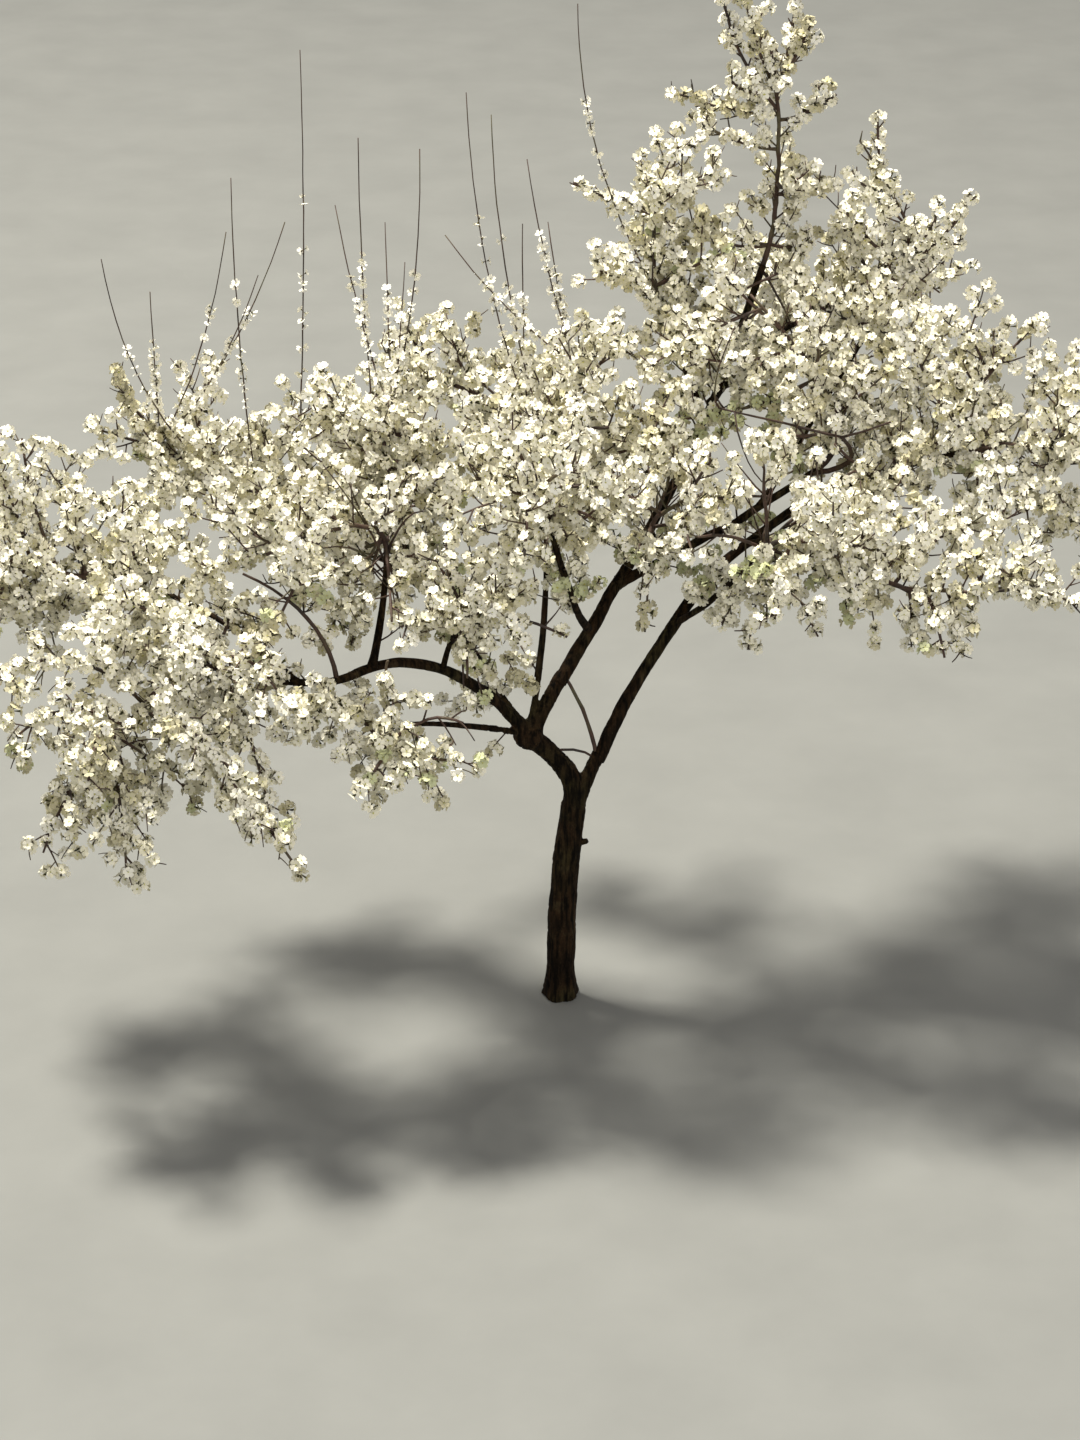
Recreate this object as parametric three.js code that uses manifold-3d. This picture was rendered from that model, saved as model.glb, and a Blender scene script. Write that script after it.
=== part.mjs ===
// Dwarf plum tree in full blossom, rooted in level ground.
// Millimetres, +Z up. The origin is at the middle of the flat cut under the trunk, at ground level.
// +X runs along the long side of the crown, towards the leader's side. -Y is the open front of the crown.
import * as THREE from 'three';
import { mergeVertices } from 'three/addons/utils/BufferGeometryUtils.js';
import Module from 'manifold-3d';

const wasm = await Module();
wasm.setup();

// Gap between two limbs that meet, and the least gap between a mass and anything else.
const JOINT_GAP = 0.3;
const AIR_GAP = 2;

// The trunk: height to the fork, thickness, and the root flare that spreads it at the ground.
const TRUNK = {
  reach: [38, 0, 630],
  straightRise: 400,
  butt: 84,
  end: 76,
  sides: 12,
  steps: 9,
  flareSpread: 0.3,
  flareHeight: 45,
  rootLobes: 5,
  lobeDepth: 0.12,
  lobeTurn: 0.6,
};

// The short dead stub on the side of the trunk: share of the trunk's height, reach and thickness.
const STUB = { at: 0.73, reach: [58, -8, 20], butt: 24, end: 15 };

// The old pruning knob at the top of the left limb, from which most boughs rise.
const KNOB = { across: 88, tall: 80, sunk: 8, sides: 10, rings: 6, lumps: 0.07 };

// Limbs. Each grows on another one, at a share of its length: at 1 it carries on from the tip.
// reach is the way from its root to its tip, bow pushes its middle sideways, butt and end are thicknesses.
const LIMBS = {
  limb_left: { on: 'trunk', at: 1, reach: [-108, -26, 210], butt: 70, end: 57 },
  limb_right: { on: 'trunk', at: 0.95, reach: [327, 60, 628], bow: [-18, -6, 4], butt: 47, end: 33 },
  bough_centre: { on: 'knob', at: 0, reach: [282, 170, 449], bow: [-2, 0, 4], butt: 47, end: 34 },
  bough_left: { on: 'knob', at: 0, reach: [-474, -350, 348], bow: [0, 0, 112], butt: 37, end: 25 },
  bough_left_low: { on: 'knob', at: 0, reach: [-352, -345, 194], bow: [0, 0, 14], butt: 20, end: 13 },
  bough_left_rear: { on: 'knob', at: 0, reach: [-364, 250, 498], bow: [0, 0, -20], butt: 31, end: 20 },
  bough_upright: { on: 'knob', at: 0, reach: [50, 70, 518], bow: [14, 6, 0], butt: 23, end: 16 },
  bough_top: { on: 'bough_centre', at: 1, reach: [390, 455, 745], butt: 33, end: 20 },
  bough_back: { on: 'bough_top', at: 0.3, reach: [-370, 330, 110], bow: [0, 0, 40], butt: 22, end: 16 },
  bough_high: { on: 'bough_top', at: 0.55, reach: [-90, 110, 190], bow: [0, 0, 10], butt: 20, end: 15 },
  bough_back_right: { on: 'bough_top', at: 0.6, reach: [250, 330, 120], bow: [0, 0, 30], butt: 21, end: 15 },
  bough_front: {
    on: 'bough_centre', at: 0.62, reach: [-120, -330, 480], bow: [0, -40, -30], butt: 24, end: 16,
  },
  bough_right_inner: {
    on: 'bough_centre', at: 0.9, reach: [560, 40, 330], bow: [0, 0, -16], butt: 29, end: 19,
  },
  bough_right_crest: { on: 'bough_right_inner', at: 0.72, reach: [300, 250, 420], butt: 20, end: 14 },
  bough_middle: {
    on: 'bough_right_inner', at: 0.25, reach: [-50, -210, 170], bow: [0, 0, -12], butt: 18, end: 13,
  },
  bough_right: { on: 'limb_right', at: 1, reach: [300, 50, 262], butt: 32, end: 23 },
  bough_right_front: {
    on: 'limb_right', at: 0.9, reach: [210, -290, 330], bow: [0, 0, -20], butt: 21, end: 15,
  },
  bough_right_far: { on: 'bough_right', at: 1, reach: [470, -40, 190], butt: 22, end: 15 },
  bough_right_mid: { on: 'bough_right', at: 0.8, reach: [240, -60, 160], bow: [0, 0, 30], butt: 19, end: 14 },
  bough_right_low: {
    on: 'bough_right', at: 0.62, reach: [260, -360, 90], bow: [0, 0, 40], butt: 18, end: 13,
  },
  bough_left_front: { on: 'bough_left', at: 0.5, reach: [40, -130, 170], bow: [0, 0, 10], butt: 18, end: 13 },
  bough_left_far: { on: 'bough_left', at: 1, reach: [-330, -60, 40], butt: 24, end: 17 },
  bough_left_up: { on: 'bough_left', at: 0.9, reach: [42, 77, 307], bow: [8, 10, 0], butt: 23, end: 16 },
  bough_left_end: {
    on: 'bough_left_far', at: 0.55, reach: [-400, 280, 150], bow: [0, 0, 40], butt: 18, end: 13,
  },
  bough_left_back: {
    on: 'bough_left_rear', at: 0.7, reach: [-280, 190, 110], bow: [0, 0, 25], butt: 20, end: 14,
  },
};
const LIMB_SIDES = { stout: 7, slender: 6, slenderBelow: 26 };
const LIMB_STEP = 165;
const LIMB_TAPER = 1.2;
// A limb that carries on from a tip keeps its direction for this share of its length, a long twig for more.
const CARRY_ON = 0.4;
const LONG_TWIG_CARRY_ON = 0.5;

// Masses of blossom. Each keeps inside the oval space with this centre and these half widths, on a stem
// that carries on from the tip of a bough and ends at the share aim of the way to the space's edge.
// arch is how far a spray's middle stands up for its length; arms are the tips of the longest sprays, and
// shoots the tips of the bare upright ones.
const MASSES = {
  mass_leader: {
    on: 'bough_top', centre: [585, 615, 2460], half: [250, 240, 545], aim: [0, 0, 0.45],
    sprays: 11, arch: -0.08,
    arms: [[425, 620, 3000], [655, 625, 2975], [330, 600, 2560], [35, 690, 2275], [770, 520, 2330]],
    shoots: [],
  },
  mass_high: {
    on: 'bough_high', centre: [370, 560, 2150], half: [330, 290, 290], aim: [-0.3, 0.1, 0.4],
    sprays: 11, arch: 0, arms: [], shoots: [[45, 610, 2815]],
  },
  mass_right_crest: {
    on: 'bough_right_crest', centre: [930, 450, 2080], half: [320, 300, 240], aim: [0.2, 0, 0.6],
    sprays: 8, arch: -0.08, arms: [[893, 600, 2510], [1045, 320, 2306], [1135, 330, 2350]], shoots: [],
  },
  mass_right_top: {
    on: 'bough_right_inner', centre: [600, 230, 1870], half: [370, 350, 300], aim: [-0.2, 0.1, 0.7],
    sprays: 11, arch: -0.06, arms: [], shoots: [],
  },
  mass_back_right: {
    on: 'bough_back_right', centre: [830, 860, 1840], half: [420, 340, 330], aim: [0.4, 0.4, 0.3],
    sprays: 10, arch: 0.06, arms: [], shoots: [],
  },
  mass_right: {
    on: 'bough_right_mid', centre: [1040, 130, 1790], half: [400, 400, 330], aim: [0.4, 0.1, 0.4],
    sprays: 11, arch: 0, arms: [], shoots: [],
  },
  mass_right_far: {
    on: 'bough_right_far', centre: [1370, 20, 1730], half: [360, 440, 340], aim: [0.6, 0.1, 0.1],
    sprays: 12, arch: 0.06, arms: [], shoots: [],
  },
  mass_right_front: {
    on: 'bough_right_front', centre: [660, -330, 1600], half: [340, 340, 250], aim: [0.3, -0.5, 0.1],
    sprays: 8, arch: 0.06, arms: [], shoots: [],
  },
  mass_right_low: {
    on: 'bough_right_low', centre: [1040, -420, 1540], half: [400, 340, 240], aim: [0.5, -0.4, 0],
    sprays: 8, arch: 0.1, arms: [], shoots: [],
  },
  mass_centre: {
    on: 'bough_upright', centre: [20, 130, 1770], half: [350, 350, 290], aim: [0.1, 0.1, 0.6],
    sprays: 10, arch: -0.06, arms: [], shoots: [[-264, 400, 2620], [-195, 390, 2560]],
  },
  mass_centre_front: {
    on: 'bough_front', centre: [-60, -440, 1760], half: [350, 340, 250], aim: [-0.1, -0.6, 0.1],
    sprays: 9, arch: 0.1, arms: [], shoots: [],
  },
  mass_back: {
    on: 'bough_back', centre: [-190, 760, 1640], half: [460, 340, 240], aim: [-0.6, 0.2, 0.2],
    sprays: 9, arch: 0.03, arms: [], shoots: [[-110, 600, 2180]],
  },
  mass_left_top: {
    on: 'bough_left_rear', centre: [-450, 10, 1710], half: [340, 350, 280], aim: [0, -0.4, 0.6],
    sprays: 10, arch: -0.06, arms: [], shoots: [[-560, 300, 2520], [-392, 330, 2480]],
  },
  mass_left_back: {
    on: 'bough_left_back', centre: [-930, 410, 1530], half: [440, 390, 260], aim: [-0.6, 0.2, 0.2],
    sprays: 10, arch: 0, arms: [[-1285, 500, 1795]],
    shoots: [[-922, 400, 2376], [-726, 500, 2713], [-1283, 300, 2172]],
  },
  mass_left_front: {
    on: 'bough_left_up', centre: [-680, -380, 1520], half: [360, 350, 290], aim: [-0.3, -0.3, 0.3],
    sprays: 10, arch: 0.03, arms: [], shoots: [],
  },
  mass_left_far: {
    on: 'bough_left_end', centre: [-1390, -110, 1400], half: [380, 440, 340], aim: [-0.6, 0, 0.1],
    sprays: 11, arch: 0.1, arms: [[-1500, 60, 1730]], shoots: [],
  },
  mass_weeping: {
    on: 'bough_left_far', centre: [-1060, -620, 1150], half: [540, 410, 420], aim: [-0.4, -0.3, -0.4],
    sprays: 14, arch: 0.22, arms: [[-1165, -800, 800], [-695, -900, 870]], shoots: [],
  },
  mass_front: {
    on: 'bough_left_front', centre: [-230, -460, 1430], half: [280, 240, 180], aim: [0.2, -0.3, 0.3],
    sprays: 7, arch: 0.06, arms: [], shoots: [],
  },
  mass_left_low: {
    on: 'bough_left_low', centre: [-500, -600, 1150], half: [280, 260, 220], aim: [0.2, -0.5, -0.3],
    sprays: 6, arch: 0.2, arms: [[-262, -700, 1100]], shoots: [],
  },
  mass_middle: {
    on: 'bough_middle', centre: [320, -190, 1630], half: [290, 230, 200], aim: [0.2, -0.3, 0.3],
    sprays: 8, arch: 0.04, arms: [], shoots: [],
  },
};

// Stems, sprays and bare shoots: thicknesses, sides, and the share at the foot that has no blossom. A stem's
// foot bends, so it is made in several steps, and the sprays that leave it there meet it.
const STEM = { butt: 17, end: 9, sides: 5, barePart: 0.3, bareSteps: 3 };
const SPRAY = { butt: 12, end: 7, sides: 4, barePart: 0.12, bareSteps: 1 };
const SHOOT = { butt: 9, end: 5, sides: 3, steps: 3 };
// A spray with no room at its full length is tried at the next of these shares of it.
const SPRAY_PARTS = [1, 0.8, 0.62];
const SHORTEST_SPRAY = 120;
// The shares of a stem that twigs leave from, and how far back from the nearest point they leave.
const FIRST_ROOT = 0.12;
const LAST_ROOT = 0.95;
const STEM_STATIONS = 12;
const BACKSET = 0.35;
// Spray tips lie at this share of the way to the edge of the space.
const EDGE = { least: 0.8, most: 1 };
// Long twigs set out flatter than the straight way to their tips.
const LONG_TWIG_START = [0.8, 0.8, 0.35];
const GOLDEN_TURN = Math.PI * (3 - Math.sqrt(5));

// Clusters of blossom round a twig: half width, pitch along it, how far off its line they sit, and the
// least distance between two of a mass.
const CLUSTER = { least: 44, most: 66, pitch: 100, sway: 16, apart: 76 };

// Balls that stand for a tube when the room round it is tested lie this far apart.
const BALL_SPACING = 20;
// The seed of the first mass. Each next mass has the next seed.
const FIRST_SEED = 11;

const BARK = { color: 0x33241d, roughness: 0.95, metalness: 0 };
const BLOSSOM = { color: 0xf3eee2, roughness: 0.8, metalness: 0 };

// Numbers from 0 to 1 that repeat from a seed.
function seeded(seed) {
  let state = seed >>> 0;
  return () => {
    state = (state + 0x6d2b79f5) >>> 0;
    let mixed = Math.imul(state ^ (state >>> 15), state | 1);
    mixed ^= mixed + Math.imul(mixed ^ (mixed >>> 7), mixed | 61);
    return ((mixed ^ (mixed >>> 14)) >>> 0) / 2 ** 32;
  };
}

function vector(values) {
  return new THREE.Vector3(...values);
}

// A curve from its root to its tip whose middle is pushed sideways by bow.
function bowedCurve(root, reach, bow) {
  const tip = root.clone().add(reach);
  const control = root.clone().addScaledVector(reach, 0.5).addScaledVector(bow, 2);
  return new THREE.QuadraticBezierCurve3(root, control, tip);
}

// A curve that leaves its root in the direction given, and bends over to its tip.
function bentCurve(root, direction, tip, straightShare) {
  const length = root.distanceTo(tip);
  const control = root.clone().addScaledVector(direction, length * straightShare);
  return new THREE.QuadraticBezierCurve3(root, control, tip);
}

// Cross directions at shares of a curve, which turn as little as the curve lets them.
function crossFrames(curve, shares) {
  let normal = new THREE.Vector3(0, 1, 0);
  return shares.map((share) => {
    const tangent = curve.getTangent(share);
    normal = normal.clone().addScaledVector(tangent, -normal.dot(tangent));
    if (normal.lengthSq() < 1e-6) {
      normal.set(1, 0, 0).addScaledVector(tangent, -tangent.x);
    }
    normal.normalize();
    const across = new THREE.Vector3().crossVectors(normal, tangent);
    return { point: curve.getPoint(share), tangent, normal, across };
  });
}

// Evenly spaced rings for a limb whose half width is known along it and, for the trunk, around it.
function evenRings(radiusAt, steps) {
  return Array.from({ length: steps + 1 }, (_, index) => {
    const share = index / steps;
    return { share, radius: (angle) => radiusAt(share, angle) };
  });
}

// A closed solid through rings on a curve: a cylinder's rings, moved into place.
// growth thickens it and lengthens its tip.
function lofted(curve, rings, sides, growth = 0) {
  const last = rings.length - 1;
  const geometry = new THREE.CylinderGeometry(1, 1, 1, sides, last);
  const frames = crossFrames(curve, rings.map((ring) => ring.share));
  const corners = geometry.attributes.position;
  for (let index = 0; index < corners.count; index += 1) {
    const step = Math.round((corners.getY(index) + 0.5) * last);
    const { point, tangent, normal, across } = frames[step];
    const angle = Math.atan2(corners.getZ(index), corners.getX(index));
    const radius = rings[step].radius(angle) + growth;
    const place = point.clone()
      .add(rings[step].shift ?? new THREE.Vector3())
      .addScaledVector(normal, corners.getX(index) * radius)
      .addScaledVector(across, corners.getZ(index) * radius)
      .addScaledVector(tangent, step === last ? growth : 0);
    corners.setXYZ(index, place.x, place.y, place.z);
  }
  return solidFrom(geometry);
}

// A closed geometry as a solid that can be joined and cut.
function solidFrom(geometry) {
  geometry.deleteAttribute('normal');
  geometry.deleteAttribute('uv');
  const merged = mergeVertices(geometry);
  return new wasm.Manifold(new wasm.Mesh({
    numProp: 3,
    vertProperties: new Float32Array(merged.attributes.position.array),
    triVerts: new Uint32Array(merged.index.array),
  }));
}

// The largest body of a solid: loose scraps and sealed hollows are left off.
function largestBody(solid) {
  const bodies = solid.decompose();
  return bodies.reduce((best, body) => (body.volume() > best.volume() ? body : best));
}

function fused(solids) {
  return largestBody(wasm.Manifold.union(solids));
}

// A named mesh of a solid, placed by its root, with its own material.
function meshOf(name, solid, root, look) {
  const { vertProperties, triVerts } = solid.getMesh();
  const geometry = new THREE.BufferGeometry();
  geometry.setAttribute('position', new THREE.BufferAttribute(vertProperties, 3));
  geometry.setIndex(new THREE.BufferAttribute(triVerts, 1));
  geometry.translate(-root.x, -root.y, -root.z);
  geometry.computeVertexNormals();
  const mesh = new THREE.Mesh(geometry, new THREE.MeshStandardMaterial(look));
  mesh.name = name;
  mesh.position.copy(root);
  return mesh;
}

// Thickness along a limb that tapers from its butt to its end.
function taper(size, power = 1) {
  return (share) => (size.end + (size.butt - size.end) * (1 - share) ** power) / 2;
}

function stepsFor(curve, step, least) {
  return Math.max(least, Math.round(curve.getLength() / step));
}

// The trunk's half width: its taper, spread by root lobes near the ground.
function trunkRadius(share, angle) {
  const height = share * TRUNK.reach[2];
  const flare = Math.exp(-height / TRUNK.flareHeight);
  const lobe = TRUNK.lobeDepth * Math.cos(TRUNK.rootLobes * angle + TRUNK.lobeTurn);
  return taper(TRUNK)(share) * (1 + (TRUNK.flareSpread + lobe) * flare);
}

function trunk() {
  const curve = new THREE.QuadraticBezierCurve3(
    new THREE.Vector3(),
    new THREE.Vector3(0, 0, TRUNK.straightRise),
    vector(TRUNK.reach),
  );
  const stubCurve = bowedCurve(curve.getPoint(STUB.at), vector(STUB.reach), new THREE.Vector3());
  const build = (growth) => {
    const stem = lofted(curve, evenRings(trunkRadius, TRUNK.steps), TRUNK.sides, growth);
    return stem.add(lofted(stubCurve, evenRings(taper(STUB), 2), LIMB_SIDES.slender, growth));
  };
  return { curve, build, radiusAt: trunkRadius };
}

// The knob is a lumpy ball that sits over the tip of the left limb.
function knob(carrier) {
  const tip = carrier.curve.getPoint(1);
  const middle = tip.clone().addScaledVector(carrier.curve.getTangent(1), KNOB.tall / 2 - KNOB.sunk);
  const build = (growth) => {
    const geometry = new THREE.SphereGeometry(1, KNOB.sides, KNOB.rings);
    const corners = geometry.attributes.position;
    for (let index = 0; index < corners.count; index += 1) {
      const [x, y, z] = [corners.getX(index), corners.getY(index), corners.getZ(index)];
      const lump = 1 + KNOB.lumps * Math.sin(3 * x + 1) * Math.cos(4 * z + 2 * y);
      const half = new THREE.Vector3(x, y, z).multiplyScalar(lump);
      half.multiply(new THREE.Vector3(KNOB.across / 2, KNOB.across / 2, KNOB.tall / 2));
      const place = half.addScaledVector(half.clone().normalize(), growth).add(middle);
      corners.setXYZ(index, place.x, place.y, place.z);
    }
    return solidFrom(geometry);
  };
  const curve = new THREE.LineCurve3(middle, middle.clone().add(new THREE.Vector3(0, 0, 1)));
  return { curve, build, radiusAt: () => KNOB.across / 2 };
}

// A limb on its carrier: it carries on from the tip, or leaves from inside and is cut clear.
function limb(size, carrier) {
  const reach = vector(size.reach);
  const continues = size.at === 1;
  const direction = carrier.curve.getTangent(size.at);
  const root = carrier.curve.getPoint(size.at);
  let curve = bowedCurve(root, reach, vector(size.bow ?? [0, 0, 0]));
  if (continues) {
    root.addScaledVector(direction, JOINT_GAP);
    curve = bentCurve(root, direction, root.clone().add(reach), CARRY_ON);
  }
  const radiusAt = taper(size, LIMB_TAPER);
  const rings = evenRings(radiusAt, stepsFor(curve, LIMB_STEP, 2));
  const sides = size.butt < LIMB_SIDES.slenderBelow ? LIMB_SIDES.slender : LIMB_SIDES.stout;
  return { curve, radiusAt, build: (growth) => lofted(curve, rings, sides, growth) };
}

// Two boxes that come within a gap of each other.
function boxesNear(first, second, gap) {
  const [a, b] = [first.boundingBox(), second.boundingBox()];
  return [0, 1, 2].every((axis) => a.min[axis] - gap < b.max[axis] && b.min[axis] - gap < a.max[axis]);
}

// All limbs, from the ground up, each cut clear of the ones before it.
function growLimbs() {
  const limbs = new Map([['trunk', trunk()]]);
  for (const [name, size] of Object.entries(LIMBS)) {
    limbs.set(name, limb(size, limbs.get(size.on)));
    if (name === 'limb_left') {
      limbs.set('knob', knob(limbs.get(name)));
    }
  }
  const earlier = [];
  for (const grown of limbs.values()) {
    let solid = grown.build(0);
    for (const thicker of earlier) {
      if (boxesNear(solid, thicker, JOINT_GAP)) {
        solid = solid.subtract(thicker);
      }
    }
    grown.solid = largestBody(solid);
    earlier.push(grown.build(JOINT_GAP));
  }
  return limbs;
}

// The air that limbs and masses have taken, as balls, so that a later mass stays clear of it.
class TakenSpace {
  constructor() {
    this.balls = [];
  }

  take(point, radius, owner) {
    this.balls.push({ point, radius, owner });
  }

  takeCurve(curve, radiusAt, owner) {
    for (const { point, radius } of ballsAlong(curve, radiusAt)) {
      this.take(point, radius, owner);
    }
  }

  isFree(point, radius, owner) {
    return this.balls.every((ball) => ball.owner === owner
      || ball.point.distanceTo(point) > ball.radius + radius + AIR_GAP);
  }
}

// Balls that together hold a tube along a curve.
function ballsAlong(curve, radiusAt) {
  const count = Math.ceil(curve.getLength() / BALL_SPACING);
  return Array.from({ length: count + 1 }, (_, index) => {
    const share = index / count;
    const radius = Math.hypot(radiusAt(share, 0), BALL_SPACING / 2);
    return { point: curve.getPoint(share), radius };
  });
}

// One mass of blossom, grown in its own space from the tip of its bough.
class BlossomMass {
  constructor(name, plan, carrier, taken, seed) {
    this.name = name;
    this.plan = plan;
    this.taken = taken;
    this.random = seeded(seed);
    this.centre = vector(plan.centre);
    this.half = vector(plan.half);
    this.turn = this.random() * 2 * Math.PI;
    this.solids = [];
    this.clusters = [];
    this.growStem(carrier);
    this.growSprays();
    plan.arms.forEach((tip) => this.growTo(vector(tip), SPRAY, true));
    plan.shoots.forEach((tip) => this.growTo(vector(tip), SHOOT, false));
  }

  twigIsFree(curve, radiusAt) {
    return ballsAlong(curve, radiusAt).every(({ point, radius }) => (
      this.taken.isFree(point, radius, this.name)));
  }

  addTwig(curve, size, rings) {
    this.solids.push(lofted(curve, rings, size.sides));
    this.taken.takeCurve(curve, taper(size), this.name);
  }

  // Rings along a flowering twig: a wide one at each cluster that has room, a narrow one before it.
  floweringRings(curve, size) {
    const thickness = taper(size);
    const thin = (share) => ({ share, radius: () => thickness(share) });
    const pitch = CLUSTER.pitch / curve.getLength();
    const count = Math.max(1, Math.floor((1 - size.barePart) / pitch));
    const rings = [thin(0)];
    for (let step = 1; step < size.bareSteps; step += 1) {
      rings.push(thin((1 - count * pitch) * step / size.bareSteps));
    }
    for (let left = count; left > 0; left -= 1) {
      const neck = 1 - left * pitch;
      if (neck > 0) {
        rings.push(thin(neck));
      }
      rings.push(this.cluster(curve, 1 - (left - 0.5) * pitch) ?? thin(1 - (left - 0.5) * pitch));
    }
    rings.push(thin(1));
    return rings;
  }

  // The wide ring of a cluster, or null where it would touch something or crowd another cluster.
  cluster(curve, share) {
    const half = CLUSTER.least + (CLUSTER.most - CLUSTER.least) * this.random();
    const shift = new THREE.Vector3(this.random() - 0.5, this.random() - 0.5, this.random() - 0.5);
    shift.multiplyScalar(2 * CLUSTER.sway);
    const middle = curve.getPoint(share).add(shift);
    const crowded = this.clusters.some((other) => other.distanceTo(middle) < CLUSTER.apart);
    if (crowded || !this.taken.isFree(middle, half, this.name)) {
      return null;
    }
    this.clusters.push(middle);
    this.taken.take(middle, half, this.name);
    return { share, radius: () => half, shift };
  }

  growStem(carrier) {
    const direction = carrier.curve.getTangent(1);
    const root = carrier.curve.getPoint(1).addScaledVector(direction, JOINT_GAP);
    const tip = vector(this.plan.aim).multiply(this.half).add(this.centre);
    this.stem = bentCurve(root, direction, tip, CARRY_ON);
    this.addTwig(this.stem, STEM, this.floweringRings(this.stem, STEM));
  }

  growSprays() {
    for (let index = 0; index < this.plan.sprays; index += 1) {
      const curve = this.sprayCurve(this.sprayTip(index));
      if (curve !== null) {
        this.addTwig(curve, SPRAY, this.floweringRings(curve, SPRAY));
      }
    }
  }

  // Spray tips lie evenly all over the edge of the space, a golden turn apart.
  sprayTip(index) {
    const height = 1 - 2 * (index + 0.5) / this.plan.sprays;
    const ring = Math.sqrt(1 - height * height);
    const turn = index * GOLDEN_TURN + this.turn;
    const direction = new THREE.Vector3(ring * Math.cos(turn), ring * Math.sin(turn), height);
    const depth = EDGE.least + (EDGE.most - EDGE.least) * this.random();
    return direction.multiplyScalar(depth).multiply(this.half).add(this.centre);
  }

  // A spray leaves its stem below the point nearest its tip. It is shortened until it has room.
  sprayCurve(tip) {
    const root = this.stem.getPoint(this.rootShare(tip));
    const full = tip.clone().sub(root);
    for (const part of SPRAY_PARTS) {
      const reach = full.clone().multiplyScalar(part);
      const bow = new THREE.Vector3(0, 0, this.plan.arch * reach.length());
      const curve = bowedCurve(root, reach, bow);
      if (reach.length() > SHORTEST_SPRAY && this.twigIsFree(curve, taper(SPRAY))) {
        return curve;
      }
    }
    return null;
  }

  // The share of the stem where a twig to this tip leaves: the nearest, moved back towards the bough.
  rootShare(tip) {
    const shares = Array.from({ length: STEM_STATIONS }, (_, index) => (
      FIRST_ROOT + (LAST_ROOT - FIRST_ROOT) * index / (STEM_STATIONS - 1)));
    const gap = (share) => this.stem.getPoint(share).distanceTo(tip);
    const nearest = shares.reduce((best, share) => (gap(share) < gap(best) ? share : best));
    return Math.max(FIRST_ROOT, nearest - BACKSET * gap(nearest) / this.stem.getLength());
  }

  // A twig that rises or hangs from the nearest part of the mass to a tip of its own.
  growTo(tip, size, flowering) {
    const root = this.stem.getPoint(this.rootShare(tip));
    const direction = tip.clone().sub(root).multiply(vector(LONG_TWIG_START)).normalize();
    const curve = bentCurve(root, direction, tip, LONG_TWIG_CARRY_ON);
    const rings = flowering ? this.floweringRings(curve, size) : evenRings(taper(size), size.steps);
    this.addTwig(curve, size, rings);
  }

  mesh() {
    return meshOf(this.name, fused(this.solids), this.stem.v0, BLOSSOM);
  }
}

// The whole tree: the limbs in bark, then the masses of blossom.
function plumTree() {
  const tree = new THREE.Group();
  const taken = new TakenSpace();
  const limbs = growLimbs();
  for (const [name, { curve, radiusAt, solid }] of limbs) {
    tree.add(meshOf(name, solid, curve.getPoint(0), BARK));
    taken.takeCurve(curve, radiusAt, name);
  }
  Object.entries(MASSES).forEach(([name, plan], index) => {
    const mass = new BlossomMass(name, plan, limbs.get(plan.on), taken, FIRST_SEED + index);
    tree.add(mass.mesh());
  });
  return tree;
}

export default plumTree();
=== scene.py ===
"""Dwarf plum tree in full blossom: the bark, twigs and blossom that stand for the solids of the tree.

Lengths are in millimetres while the tree grows and in metres in every mesh. +Z is up, and the origin is the
middle of the flat cut under the trunk. -Y is the open front of the crown, and +X is the leader's side.
"""
import logging
import math
from collections.abc import Callable, Iterable
from dataclasses import dataclass, field
from enum import Enum, IntEnum
from functools import cached_property
from itertools import product
from typing import Any

import bmesh
import bpy
import numpy as np
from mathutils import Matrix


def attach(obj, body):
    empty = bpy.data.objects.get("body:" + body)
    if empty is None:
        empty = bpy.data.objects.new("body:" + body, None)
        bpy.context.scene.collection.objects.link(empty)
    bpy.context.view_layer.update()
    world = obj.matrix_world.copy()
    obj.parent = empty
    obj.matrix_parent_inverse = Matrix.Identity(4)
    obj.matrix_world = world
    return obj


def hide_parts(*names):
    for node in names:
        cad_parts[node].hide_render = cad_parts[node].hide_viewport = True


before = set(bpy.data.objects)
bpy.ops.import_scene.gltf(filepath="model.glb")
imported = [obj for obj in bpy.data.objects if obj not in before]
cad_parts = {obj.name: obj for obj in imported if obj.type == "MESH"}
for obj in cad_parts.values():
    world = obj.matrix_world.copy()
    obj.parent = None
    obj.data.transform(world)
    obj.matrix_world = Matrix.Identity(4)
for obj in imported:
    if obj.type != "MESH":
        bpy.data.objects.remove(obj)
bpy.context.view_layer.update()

LOG = logging.getLogger("plum_tree")

Vec = np.ndarray
Triple = tuple[float, float, float]
Colour = Triple
BODY = "root"
MM = 0.001
UP = np.array([0.0, 0.0, 1.0])
FULL_TURN = 2 * math.pi
GOLDEN_TURN = math.pi * (3 - math.sqrt(5))
# Where the photograph was taken from, in millimetres.
EYE = np.array([-60.0, -9790.0, 5460.0])


class Slot(Enum):
    """The record's material slots."""

    BARK = "bark"
    BLOSSOM = "blossom"


class Region(Enum):
    """The parts of the crown whose twigs and blossom are joined."""

    TOP = "top"
    RIGHT = "right"
    CENTRE = "centre"
    LEFT = "left"
    WEEPING = "weeping"


class Tint(Enum):
    """The petal colours that are dealt out by spray, by their place in a blossom piece's list of finishes."""

    # The tints from white down to buff also serve as painted light and shade:
    # sprays low in their mass and flowers that face down take the darker ones. White, ivory and cream also
    # differ at random.
    WHITE = 0
    IVORY = 1
    CREAM = 2
    # Painted shade: a dull, dark colour, darker than any petal, for blossom in shade.
    SHADE_BUFF = 3
    BUDDING = 4


# Growth: numbers, curves and room.


def vector(values: Any) -> Vec:
    """Values as an array of floats."""
    return np.array(values, dtype=float)


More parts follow.
